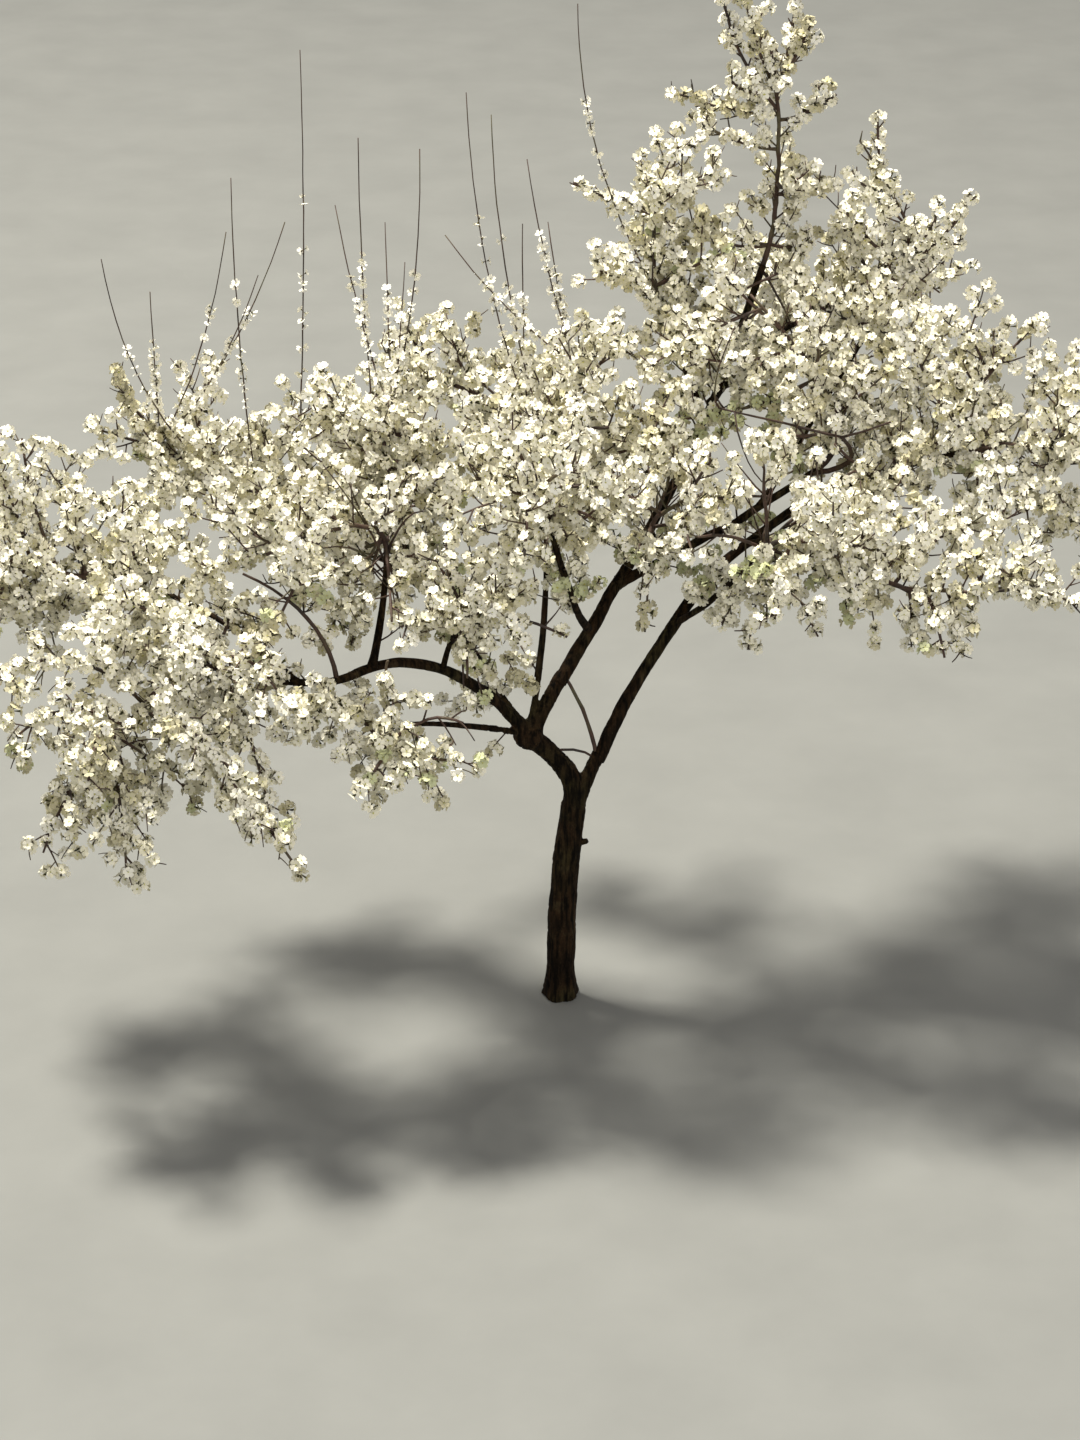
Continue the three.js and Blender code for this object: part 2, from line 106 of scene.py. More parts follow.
def unit(vectors: Vec) -> Vec:
    """Vectors at length 1, row by row."""
    least_length = 1e-12
    return vectors / np.maximum(np.linalg.norm(vectors, axis=-1, keepdims=True), least_length)


def even_turns(count: int) -> Vec:
    """Angles that lie evenly round a circle."""
    return np.arange(count) * FULL_TURN / count


class Seeded:
    """Numbers from 0 to 1 that repeat from a seed, drawn in the way of the part's source."""

    WORD = 0xFFFFFFFF
    STEP = 0x6D2B79F5

    def __init__(self, seed: int) -> None:
        """Starts the row of numbers at a seed."""
        self.state = seed & self.WORD

    def draw(self) -> float:
        """The next number.

        Returns:
            A number from 0 up to 1.
        """
        self.state = (self.state + self.STEP) & self.WORD
        mixed = ((self.state ^ (self.state >> 15)) * (self.state | 1)) & self.WORD
        mixed ^= (mixed + (((mixed ^ (mixed >> 7)) * (mixed | 61)) & self.WORD)) & self.WORD
        return ((mixed ^ (mixed >> 14)) & self.WORD) / 2**32

    def between(self, least: float, most: float) -> float:
        """The next number, spread over a range."""
        return least + (most - least) * self.draw()

    def turn(self) -> float:
        """The next number, as an angle."""
        return self.draw() * FULL_TURN

    def shift(self) -> Vec:
        """The next three numbers, less a half, so that they lie from -0.5 to 0.5."""
        return np.array([self.draw() - 0.5 for _ in range(3)])


@dataclass(frozen=True)
class Bezier:
    """The quadratic curve of a limb or twig, in millimetres."""

    TANGENT_STEP = 1e-4
    LENGTH_STEPS = 200

    root: Vec
    control: Vec
    tip: Vec

    @classmethod
    def bowed(cls, root: Vec, reach: Vec, bow: Vec) -> "Bezier":
        """A curve from its root to its tip whose middle is pushed sideways by bow."""
        return cls(root, root + reach * 0.5 + bow * 2, root + reach)

    @classmethod
    def bent(cls, root: Vec, direction: Vec, tip: Vec, straight_share: float) -> "Bezier":
        """A curve that leaves its root in the direction given, and bends over to its tip."""
        return cls(root, root + direction * (np.linalg.norm(tip - root) * straight_share), tip)

    @classmethod
    def through(cls, root: Vec, middle: Vec, tip: Vec) -> "Bezier":
        """A curve from its root to its tip that passes through a middle point."""
        return cls(root, middle * 2 - (root + tip) / 2, tip)

    def points(self, shares: Any) -> Vec:
        """Points at shares of the curve, which may be one number or an array.

        Args:
            shares: One number or an array, each from 0 to 1.

        Returns:
            A point for each share.
        """
        share = np.asarray(shares, dtype=float)[..., None]
        rest = 1.0 - share
        return rest * rest * self.root + 2 * rest * share * self.control + share * share * self.tip

    def tangents(self, shares: Any) -> Vec:
        """Directions of length 1 at shares of the curve.

        Args:
            shares: One number or an array, each from 0 to 1.

        Returns:
            A direction for each share.
        """
        shares = np.asarray(shares, dtype=float)
        before = self.points(np.clip(shares - self.TANGENT_STEP, 0, 1))
        return unit(self.points(np.clip(shares + self.TANGENT_STEP, 0, 1)) - before)

    @cached_property
    def length(self) -> float:
        """Length of the curve."""
        steps = np.diff(self.points(np.linspace(0, 1, self.LENGTH_STEPS + 1)), axis=0)
        return float(np.linalg.norm(steps, axis=1).sum())


def taper(butt: float, end: float, power: float = 1.0) -> Callable[[Any], Any]:
    """Half width along a limb or twig.

    Args:
        butt: Thickness at the root.
        end: Thickness at the tip.
        power: How early it thins: above 1 it thins near its root.

    Returns:
        A function from a share of the length to the half width there.
    """
    return lambda share: (end + (butt - end) * (1 - share) ** power) / 2


def balls_along(curve: Bezier, radius_at: Callable[[Any], Any], spacing: float = 20) -> tuple[Vec, Vec]:
    """Balls that together hold a tube along a curve.

    Args:
        curve: The middle of the tube.
        radius_at: Half width at a share of the curve.
        spacing: The most that two balls lie apart.

    Returns:
        The middles and the radii of the balls.
    """
    shares = np.linspace(0, 1, math.ceil(curve.length / spacing) + 1)
    radii = np.hypot(radius_at(shares) + 0 * shares, spacing / 2)
    return curve.points(shares), radii


class TakenSpace:
    """The air that limbs and masses have taken, as balls, so that a later mass stays clear of it."""

    AIR_GAP = 2.0

    def __init__(self) -> None:
        """Starts with no balls."""
        self.points = np.empty((0, 3))
        self.radii = np.empty(0)

    def take(self, points: Vec, radii: Vec) -> None:
        """Adds balls by their middles and radii."""
        self.points = np.vstack([self.points, points])
        self.radii = np.concatenate([self.radii, radii])

    def is_free(self, points: Vec, radii: Vec, gap: float = AIR_GAP) -> bool:
        """Whether balls stay clear of all that is taken.

        Args:
            points: Middles of the balls.
            radii: Radii of the balls.
            gap: The air to keep. Below 0, balls may reach into what is taken by that much.

        Returns:
            True where every ball has room.
        """
        apart = np.linalg.norm(points[:, None, :] - self.points[None, :, :], axis=2)
        return bool((apart > radii[:, None] + self.radii[None, :] + gap).all())


# Growth: the limbs and masses of the part, from the same named sizes.


@dataclass(frozen=True)
class TrunkPlan:
    """The trunk: height to the fork, thickness, and the root flare."""

    reach: Triple = (38, 0, 630)
    straight_rise: float = 400
    butt: float = 84
    end: float = 76
    flare_spread: float = 0.3
    flare_height: float = 45
    root_lobes: int = 5
    lobe_depth: float = 0.12
    lobe_turn: float = 0.6

    @property
    def curve(self) -> Bezier:
        """The middle line of the trunk."""
        return Bezier(np.zeros(3), UP * self.straight_rise, vector(self.reach))

    def radius_at(self, share: Any, angle: Any = 0.0) -> Any:
        """Half width at a share of the height, at an angle round the trunk.

        Args:
            share: Share of the height.
            angle: Angle round the trunk.

        Returns:
            The half width there.
        """
        flare = np.exp(-share * self.reach[2] / self.flare_height)
        lobe = self.lobe_depth * np.cos(self.root_lobes * angle + self.lobe_turn)
        return taper(self.butt, self.end)(share) * (1 + (self.flare_spread + lobe) * flare)


@dataclass(frozen=True)
class LimbPlan:
    """A limb: its carrier, where it leaves it, the way to its tip, its thicknesses and how it bows.

    bare is the share at its foot that has no flowering spurs. shown holds the stretches that no blossom hides
    from the front.
    """

    on: str
    at: float
    reach: Triple
    butt: float
    end: float
    bow: Triple = (0, 0, 0)
    bare: float = 0.15
    shown: tuple[tuple[float, float], ...] = ()


@dataclass(frozen=True)
class MassPlan:
    """A mass of blossom in its own oval space, and how its finer twigs fill it.

    arms and shoots are the tips of twigs that leave the space, flowering and bare. fillers are the tips of
    finer twigs in the gaps between its sprays, and wisps those of finer bare shoots. Side twigs rise by lift,
    get shorter to the top where top_share is below 1, and may end outside the space where stray is above 1.
    No blossom hides the share shown_stem of the stem.
    """

    on: str
    centre: Triple
    half: Triple
    aim: Triple
    sprays: int
    arch: float
    region: Region
    arms: tuple[Triple, ...] = ()
    shoots: tuple[Triple, ...] = ()
    fillers: tuple[Triple, ...] = ()
    wisps: tuple[Triple, ...] = ()
    lift: float = 0.35
    top_share: float = 1
    stray: float = 1.17
    shown_stem: float = 0


STUB = LimbPlan("trunk", 0.73, (58, -8, 20), 24, 15)
LIMBS = {
    "limb_left": LimbPlan("trunk", 1, (-108, -26, 210), 70, 57, bare=1),
    "limb_right": LimbPlan(
        "trunk", 0.95, (327, 60, 628), 47, 33, (-18, -6, 4), bare=0.97, shown=((0, 0.97),)
    ),
    "bough_centre": LimbPlan("knob", 0, (282, 170, 449), 47, 34, (-2, 0, 4), bare=0.9, shown=((0, 0.92),)),
    "bough_left": LimbPlan(
        "knob", 0, (-474, -350, 348), 37, 25, (0, 0, 112), bare=0.04, shown=((0.33, 0.97),)
    ),
    "bough_left_low": LimbPlan(
        "knob", 0, (-352, -345, 194), 20, 13, (0, 0, 14), bare=0.4, shown=((0.2, 0.8),)
    ),
    "bough_left_rear": LimbPlan("knob", 0, (-364, 250, 498), 31, 20, (0, 0, -20), bare=0.12),
    "bough_upright": LimbPlan(
        "knob", 0, (50, 70, 518), 23, 16, (14, 6, 0), bare=0.02, shown=((0.43, 0.77),)
    ),
    "bough_top": LimbPlan(
        "bough_centre", 1, (390, 455, 745), 33, 20, bare=0, shown=((0.17, 0.3), (0.86, 1))
    ),
    "bough_back": LimbPlan("bough_top", 0.3, (-370, 330, 110), 22, 16, (0, 0, 40)),
    "bough_high": LimbPlan("bough_top", 0.55, (-90, 110, 190), 20, 15, (0, 0, 10)),
    "bough_back_right": LimbPlan("bough_top", 0.6, (250, 330, 120), 21, 15, (0, 0, 30)),
    "bough_front": LimbPlan("bough_centre", 0.62, (-120, -330, 480), 24, 16, (0, -40, -30), bare=0.02),
    "bough_right_inner": LimbPlan(
        "bough_centre", 0.9, (560, 40, 330), 29, 19, (0, 0, -16), bare=0, shown=((0.4, 0.5), (0.7, 0.84))
    ),
    "bough_right_crest": LimbPlan("bough_right_inner", 0.72, (300, 250, 420), 20, 14),
    "bough_middle": LimbPlan("bough_right_inner", 0.25, (-50, -210, 170), 18, 13, (0, 0, -12)),
    "bough_right": LimbPlan("limb_right", 1, (300, 50, 262), 32, 23, bare=0, shown=((0.52, 0.92),)),
    "bough_right_front": LimbPlan("limb_right", 0.9, (210, -290, 330), 21, 15, (0, 0, -20)),
    "bough_right_far": LimbPlan("bough_right", 1, (470, -40, 190), 22, 15),
    "bough_right_mid": LimbPlan("bough_right", 0.8, (240, -60, 160), 19, 14, (0, 0, 30)),
    "bough_right_low": LimbPlan("bough_right", 0.62, (260, -360, 90), 18, 13, (0, 0, 40)),
    "bough_left_front": LimbPlan("bough_left", 0.5, (40, -130, 170), 18, 13, (0, 0, 10)),
    "bough_left_far": LimbPlan("bough_left", 1, (-330, -60, 40), 24, 17),
    "bough_left_up": LimbPlan("bough_left", 0.9, (42, 77, 307), 23, 16, (8, 10, 0), shown=((0.35, 1),)),
    "bough_left_end": LimbPlan("bough_left_far", 0.55, (-400, 280, 150), 18, 13, (0, 0, 40)),
    "bough_left_back": LimbPlan("bough_left_rear", 0.7, (-280, 190, 110), 20, 14, (0, 0, 25)),
}
MASSES = {
    "mass_leader": MassPlan(
        "bough_top", (585, 615, 2460), (250, 240, 545), (0, 0, 0.45), 11, -0.08, Region.TOP,
        arms=((425, 620, 3000), (655, 625, 2975), (330, 600, 2560), (35, 690, 2275), (770, 520, 2330)),
        top_share=0.2, shown_stem=0.8,
    ),
    "mass_high": MassPlan(
        "bough_high", (370, 560, 2150), (330, 290, 290), (-0.3, 0.1, 0.4), 11, 0, Region.TOP,
        shoots=((45, 610, 2815),), fillers=((430, 480, 2370), (240, 420, 1880)),
    ),
    "mass_right_crest": MassPlan(
        "bough_right_crest", (930, 450, 2080), (320, 300, 240), (0.2, 0, 0.6), 8, -0.08, Region.TOP,
        arms=((893, 600, 2510), (1045, 320, 2306), (1135, 330, 2350)),
        fillers=((800, 480, 2370), (840, 540, 2440), (1070, 400, 2040)), top_share=0.3,
    ),
    "mass_right_top": MassPlan(
        "bough_right_inner", (600, 230, 1870), (370, 350, 300), (-0.2, 0.1, 0.7), 11, -0.06, Region.TOP,
        fillers=((235, 340, 1840), (225, 60, 1930), (250, 180, 1760)),
    ),
    "mass_back_right": MassPlan(
        "bough_back_right", (830, 860, 1840), (420, 340, 330), (0.4, 0.4, 0.3), 10, 0.06, Region.RIGHT,
    ),
    "mass_right": MassPlan(
        "bough_right_mid", (1040, 130, 1790), (400, 400, 330), (0.4, 0.1, 0.4), 11, 0, Region.RIGHT,
        fillers=((1110, 200, 2020),),
    ),
    "mass_right_far": MassPlan(
        "bough_right_far", (1370, 20, 1730), (360, 440, 340), (0.6, 0.1, 0.1), 12, 0.06, Region.RIGHT,
        fillers=((1300, -60, 1490), (1390, 70, 1450)),
    ),
    "mass_right_front": MassPlan(
        "bough_right_front", (660, -330, 1600), (340, 340, 250), (0.3, -0.5, 0.1), 8, 0.06, Region.RIGHT,
        fillers=((560, -300, 1330), (700, -330, 1300), (438, -300, 1322), (511, -300, 1247)), stray=1.3,
    ),
    "mass_right_low": MassPlan(
        "bough_right_low", (1040, -420, 1540), (400, 340, 240), (0.5, -0.4, 0), 8, 0.1, Region.RIGHT,
        fillers=((950, -400, 1290), (1090, -420, 1280)), stray=1.3,
    ),
    "mass_centre": MassPlan(
        "bough_upright", (20, 130, 1770), (350, 350, 290), (0.1, 0.1, 0.6), 10, -0.06, Region.CENTRE,
        shoots=((-264, 400, 2620), (-195, 390, 2560)),
        wisps=((-96, 350, 2445), (-38, 300, 2280), (-324, 300, 2242)),
    ),
    "mass_centre_front": MassPlan(
        "bough_front", (-60, -440, 1760), (350, 340, 250), (-0.1, -0.6, 0.1), 9, 0.1, Region.CENTRE,
        fillers=((-300, -400, 1670), (40, -200, 1490)), stray=1.35,
    ),
    "mass_back": MassPlan(
        "bough_back", (-190, 760, 1640), (460, 340, 240), (-0.6, 0.2, 0.2), 9, 0.03, Region.CENTRE,
        shoots=((-110, 600, 2180),),
    ),
    "mass_left_top": MassPlan(
        "bough_left_rear", (-450, 10, 1710), (340, 350, 280), (0, -0.4, 0.6), 10, -0.06, Region.LEFT,
        shoots=((-560, 300, 2520), (-392, 330, 2480)),
        fillers=((-315, -50, 1530), (-300, 250, 1450), (-720, 0, 1790), (-480, 150, 1990)), stray=1.4,
        wisps=((-625, 250, 2344), (-488, 250, 2295), (-433, 200, 2196)),
    ),
    "mass_left_back": MassPlan(
        "bough_left_back", (-930, 410, 1530), (440, 390, 260), (-0.6, 0.2, 0.2), 10, 0, Region.LEFT,
        arms=((-1285, 500, 1795),), shoots=((-922, 400, 2376), (-726, 500, 2713), (-1283, 300, 2172)),
        fillers=((-760, 330, 1700), (-990, 150, 1490)),
        wisps=((-941, 400, 2219), (-775, 400, 2248), (-851, 350, 2109), (-1162, 400, 2043)),
    ),
    "mass_left_front": MassPlan(
        "bough_left_up", (-680, -380, 1520), (360, 350, 290), (-0.3, -0.3, 0.3), 10, 0.03, Region.LEFT,
        fillers=(
            (-950, -250, 1610), (-430, -330, 1330), (-700, -380, 1390),
            (-580, -320, 1260), (-660, -330, 1260),
        ),
        stray=1.5,
    ),
    "mass_left_far": MassPlan(
        "bough_left_end", (-1390, -110, 1400), (380, 440, 340), (-0.6, 0, 0.1), 11, 0.1, Region.WEEPING,
        arms=((-1500, 60, 1730),), fillers=((-1500, -100, 1190), (-1560, 0, 1260)),
    ),
    "mass_weeping": MassPlan(
        "bough_left_far", (-1060, -620, 1150), (540, 410, 420), (-0.4, -0.3, -0.4), 14, 0.22, Region.WEEPING,
        arms=((-1165, -800, 800), (-695, -900, 870)), fillers=((-1000, -600, 950),), lift=-0.1,
    ),
    "mass_front": MassPlan(
        "bough_left_front", (-230, -460, 1430), (280, 240, 180), (0.2, -0.3, 0.3), 7, 0.06, Region.CENTRE,
        fillers=((-390, -300, 1290), (-215, -330, 1110), (-270, -340, 1150)), stray=1.5,
    ),
    "mass_left_low": MassPlan(
        "bough_left_low", (-500, -600, 1150), (280, 260, 220), (0.2, -0.5, -0.3), 6, 0.2, Region.LEFT,
        arms=((-262, -700, 1100),), lift=0.0,
    ),
    "mass_middle": MassPlan(
        "bough_middle", (320, -190, 1630), (290, 230, 200), (0.2, -0.3, 0.3), 8, 0.04, Region.CENTRE,
        fillers=((217, -150, 1332), (232, -150, 1235)), stray=1.35,
    ),
}


@dataclass(frozen=True)
class GrownLimb:
    """A limb in its place: its middle line and its half width along it."""

    name: str
    curve: Bezier
    radius_at: Callable[[Any], Any]


@dataclass
class LimbLayout:
    """The trunk, knob, limbs and boughs, laid out by the rule of the part's source."""

    trunk: TrunkPlan = field(default_factory=TrunkPlan)
    joint_gap: float = 0.3
    carry_on: float = 0.4
    limb_taper: float = 1.2
    knob_across: float = 88
    knob_tall: float = 80
    knob_sunk: float = 8

    def grow(self) -> dict[str, GrownLimb]:
        """All limbs by name, from the ground up.

        Returns:
            The limbs, with the trunk and the knob.
        """
        limbs = {"trunk": GrownLimb("trunk", self.trunk.curve, self.trunk.radius_at)}
        for name, plan in LIMBS.items():
            limbs[name] = self.limb(name, plan, limbs[plan.on].curve)
            if name == "limb_left":
                limbs["knob"] = self.knob(limbs[name].curve)
        return limbs

    def knob(self, carrier: Bezier) -> GrownLimb:
        """The pruning knob over the tip of the left limb.

        Args:
            carrier: The middle line of the left limb.

        Returns:
            The knob as a limb, whose line starts at its middle.
        """
        middle = carrier.points(1) + carrier.tangents(1) * (self.knob_tall / 2 - self.knob_sunk)
        curve = Bezier(middle, middle + UP / 2, middle + UP)
        return GrownLimb("knob", curve, lambda share: self.knob_across / 2)

    def limb(self, name: str, plan: LimbPlan, carrier: Bezier) -> GrownLimb:
        """A limb on its carrier: it carries on from the tip, or leaves from inside.

        Args:
            name: The limb's name.
            plan: Its plan.
            carrier: The middle line of what carries it.

        Returns:
            The limb in its place.
        """
        reach, bow = vector(plan.reach), vector(plan.bow)
        root, direction = carrier.points(plan.at), carrier.tangents(plan.at)
        curve = Bezier.bowed(root, reach, bow)
        if plan.at == 1:
            root = root + direction * self.joint_gap
            curve = Bezier.bent(root, direction, root + reach, self.carry_on)
        return GrownLimb(name, curve, taper(plan.butt, plan.end, self.limb_taper))


@dataclass(frozen=True)
class TwigSize:
    """Thicknesses of a kind of twig, its sides, and the share at its foot that has no blossom."""

    butt: float
    end: float
    sides: int
    bare: float

    @property
    def radius_at(self) -> Callable[[Any], Any]:
        """Half width at a share of the twig."""
        return taper(self.butt, self.end)


STEM = TwigSize(17, 9, 7, 0.3)
SPRAY = TwigSize(12, 7, 5, 0.12)
SHOOT = TwigSize(9, 5, 5, 0.5)


@dataclass(frozen=True)
class Twig:
    """A twig in its place. Where blossoms is False it stays bare."""

    curve: Bezier
    size: TwigSize
    tint: Tint = Tint.WHITE
    blossoms: bool = True


@dataclass(frozen=True)
class BareTwig:
    """A bare twig in front of the blossom, by its root, middle and tip, and its thicknesses."""

    root: Triple
    middle: Triple
    tip: Triple
    butt: float
    end: float
    sides: int = 7

    def twig(self) -> Twig:
        """The twig in its place."""
        size = TwigSize(self.butt, self.end, self.sides, 0)
        return Twig(Bezier.through(*map(vector, (self.root, self.middle, self.tip))), size, blossoms=False)


BARE_TWIGS = (
    BareTwig((704, 162, 1588), (806, 115, 1640), (779, 60, 1734), 18, 11),
    BareTwig((779, 60, 1734), (634, 60, 1770), (436, 60, 1820), 8, 5.5),
    BareTwig((436, 60, 1820), (425, 45, 1909), (474, 40, 2066), 6, 3.5),
    BareTwig((779, 60, 1734), (845, 60, 1755), (913, 60, 1779), 8, 5),
    BareTwig((479, 58, 1808), (508, 20, 1696), (558, 20, 1616), 5, 3.5),
    BareTwig((103, 10, 767), (69, 20, 901), (6, 31, 1026), 14, 9),
    BareTwig((-30, -18, 800), (35, -10, 806), (103, 10, 767), 8, 7),
    BareTwig((-479, -271, 1505), (-434, -280, 1614), (-376, -290, 1653), 9, 4),
    BareTwig((-481, -278, 1461), (-558, -280, 1535), (-649, -290, 1545), 7, 3.5),
    BareTwig((-480, -274, 1485), (-534, -280, 1614), (-643, -290, 1787), 8, 3.5),
    BareTwig((-613, -408, 1205), (-690, -385, 1378), (-858, -420, 1524), 15, 7),
    BareTwig((578, 592, 2045), (629, 560, 1965), (661, 530, 1900), 8, 4),
)


@dataclass
class MassSkeleton:
    """The stem, sprays, arms and shoots of one mass, grown as the part's source grows them."""

    plan: MassPlan
    carrier: Bezier
    taken: TakenSpace
    seed: int
    first_root: float = 0.12
    last_root: float = 0.95
    stations: int = 12
    backset: float = 0.35
    spray_parts: tuple[float, ...] = (1, 0.8, 0.62)
    shortest_spray: float = 120
    edge: tuple[float, float] = (0.8, 1)
    long_twig_start: Triple = (0.8, 0.8, 0.35)
    long_twig_straight: float = 0.5
    cluster_half: tuple[float, float] = (44, 66)
    cluster_pitch: float = 100
    cluster_sway: float = 16
    cluster_apart: float = 76

    def __post_init__(self) -> None:
        """Readies the numbers, the space, the stem, and the lists of what the mass itself takes."""
        self.random = Seeded(self.seed)
        self.centre, self.half = vector(self.plan.centre), vector(self.plan.half)
        self.stem = self.stem_curve()
        self.clusters: list[Vec] = []
        self.own: list[tuple[Vec, Vec]] = []

    def grow(self) -> list[Twig]:
        """All twigs of the mass, the stem first. The air that they take is added to what is taken.

        Returns:
            The stem, the sprays, the arms and the shoots.
        """
        turn = self.random.turn()
        twigs = [self.flowering(self.stem, STEM)]
        for index in range(self.plan.sprays):
            curve = self.spray_curve(self.spray_tip(index, turn))
            if curve is not None:
                twigs.append(self.flowering(curve, SPRAY))
        twigs += [self.flowering(self.long_twig(tip), SPRAY) for tip in self.plan.arms]
        for tip in self.plan.shoots:
            curve = self.long_twig(tip)
            self.own.append(balls_along(curve, SHOOT.radius_at))
            twigs.append(Twig(curve, SHOOT, blossoms=False))
        for points, radii in self.own:
            self.taken.take(points, radii)
        return twigs

    def stem_curve(self) -> Bezier:
        """The stem, which carries on from the bough's tip.

        Returns:
            The middle line of the stem.
        """
        direction = self.carrier.tangents(1)
        root = self.carrier.points(1) + direction * LimbLayout.joint_gap
        tip = vector(self.plan.aim) * self.half + self.centre
        return Bezier.bent(root, direction, tip, LimbLayout.carry_on)

    def flowering(self, curve: Bezier, size: TwigSize) -> Twig:
        """A flowering twig, with the room of the clusters that the solid has on it.

        Args:
            curve: The middle line of the twig.
            size: Its kind.

        Returns:
            The twig. Its room and that of its clusters are kept with those of the mass.
        """
        pitch = self.cluster_pitch / curve.length
        for left in range(max(1, math.floor((1 - size.bare) / pitch)), 0, -1):
            half = self.random.between(*self.cluster_half)
            shift = self.random.shift() * 2 * self.cluster_sway
            middle = curve.points(1 - (left - 0.5) * pitch) + shift
            crowded = any(np.linalg.norm(other - middle) < self.cluster_apart for other in self.clusters)
            if not crowded and self.taken.is_free(middle[None], np.array([half])):
                self.clusters.append(middle)
                self.own.append((middle[None], np.array([half])))
        self.own.append(balls_along(curve, size.radius_at))
        return Twig(curve, size)

    def spray_tip(self, index: int, turn: float) -> Vec:
        """A point near the edge of the space. They lie evenly over it, a golden turn apart.

        Args:
            index: Which spray, from the top down.
            turn: The angle of the first one.

        Returns:
            The point that the spray grows towards.
        """
        height = 1 - 2 * (index + 0.5) / self.plan.sprays
        ring = math.sqrt(1 - height * height)
        angle = index * GOLDEN_TURN + turn
        direction = np.array([ring * math.cos(angle), ring * math.sin(angle), height])
        return direction * self.random.between(*self.edge) * self.half + self.centre

    def spray_curve(self, tip: Vec) -> Bezier | None:
        """A spray from the stem to a tip, shortened until it has room, or None.

        Args:
            tip: The point that it grows towards.

        Returns:
            Its middle line, or None where no part of it has room.
        """
        root = self.stem.points(self.root_share(tip))
        for part in self.spray_parts:
            reach = (tip - root) * part
            span = float(np.linalg.norm(reach))
            curve = Bezier.bowed(root, reach, UP * self.plan.arch * span)
            if span > self.shortest_spray and self.taken.is_free(*balls_along(curve, SPRAY.radius_at)):
                return curve
        return None

    def root_share(self, tip: Vec) -> float:
        """The share of the stem where a twig to this tip leaves.

        Args:
            tip: The tip of the twig.

        Returns:
            A share of the stem, some way back from the nearest place.
        """
        shares = np.linspace(self.first_root, self.last_root, self.stations)
        gaps = np.linalg.norm(self.stem.points(shares) - tip, axis=1)
        nearest = int(np.argmin(gaps))
        back = self.backset * gaps[nearest] / self.stem.length
        return max(self.first_root, float(shares[nearest] - back))

    def long_twig(self, tip: Triple) -> Bezier:
        """A twig that rises or hangs from the nearest part of the mass to a tip of its own.

        Args:
            tip: Where it ends, in or out of the space.

        Returns:
            Its middle line.
        """
        goal = vector(tip)
        root = self.stem.points(self.root_share(goal))
        direction = unit((goal - root) * vector(self.long_twig_start))
        return Bezier.bent(root, direction, goal, self.long_twig_straight)


# Growth: finer twigs and flowers.


@dataclass(frozen=True)
class SideGrowth:
    """How side twigs leave a kind of twig: how far apart, how long, and how they lean."""

    pitch: float
    least: float
    most: float
    forward: float
    size: TwigSize
    curl: float = 0.18


FILLER = TwigSize(9, 5, 4, 0.2)
SIDE = TwigSize(6.4, 3.6, 3, 0.12)
SPUR = TwigSize(4.4, 2.8, 3, 0.1)
ON_STEM = SideGrowth(36, 120, 230, 0.55, SIDE)
ON_SPRAY = SideGrowth(36, 85, 190, 0.7, SIDE)
ON_ARM = SideGrowth(50, 45, 95, 0.75, SIDE)
ON_BOUGH = SideGrowth(30, 80, 210, 0.4, SIDE)
ON_SIDE = SideGrowth(62, 40, 85, 0.5, SPUR)


@dataclass
class Flowers:
    """Flowers gathered for one blossom piece: where each sits and looks, its size, stalk and tint."""

    middles: list[Vec] = field(default_factory=list)
    facings: list[Vec] = field(default_factory=list)
    feet: list[Vec] = field(default_factory=list)
    radii: list[float] = field(default_factory=list)
    tints: list[int] = field(default_factory=list)

    def add(self, middle: Vec, facing: Vec, foot: Vec, radius: float, tint: Tint) -> None:
        """Adds one flower, whose stalk stands on its foot.

        Args:
            middle: The middle of the flower.
            facing: Where it looks.
            foot: Where its stalk stands.
            radius: Its radius.
            tint: Its petal colour.
        """
        self.middles.append(middle)
        self.facings.append(facing)
        self.feet.append(foot)
        self.radii.append(radius)
        self.tints.append(tint.value)


class ClusterGrid:
    """Finds out fast whether a cluster of flowers would crowd another one."""

    def __init__(self, apart: float) -> None:
        """Starts with no clusters. apart is the least distance between two."""
        self.apart = apart
        self.cells: dict[tuple[int, int, int], list[Vec]] = {}

    def cell(self, point: Vec) -> tuple[int, int, int]:
        """The cell that a point lies in."""
        return tuple(int(value) for value in np.floor(point / self.apart))

    def claim(self, point: Vec) -> bool:
        """Takes the place of a cluster, if none is too near.

        Args:
            point: The middle of the cluster.

        Returns:
            True where the place was free and is now taken.
        """
        home = self.cell(point)
        for step in product((-1, 0, 1), repeat=3):
            for other in self.cells.get((home[0] + step[0], home[1] + step[1], home[2] + step[2]), ()):
                if math.dist(other, point) < self.apart:
                    return False
        self.cells.setdefault(home, []).append(point)
        return True


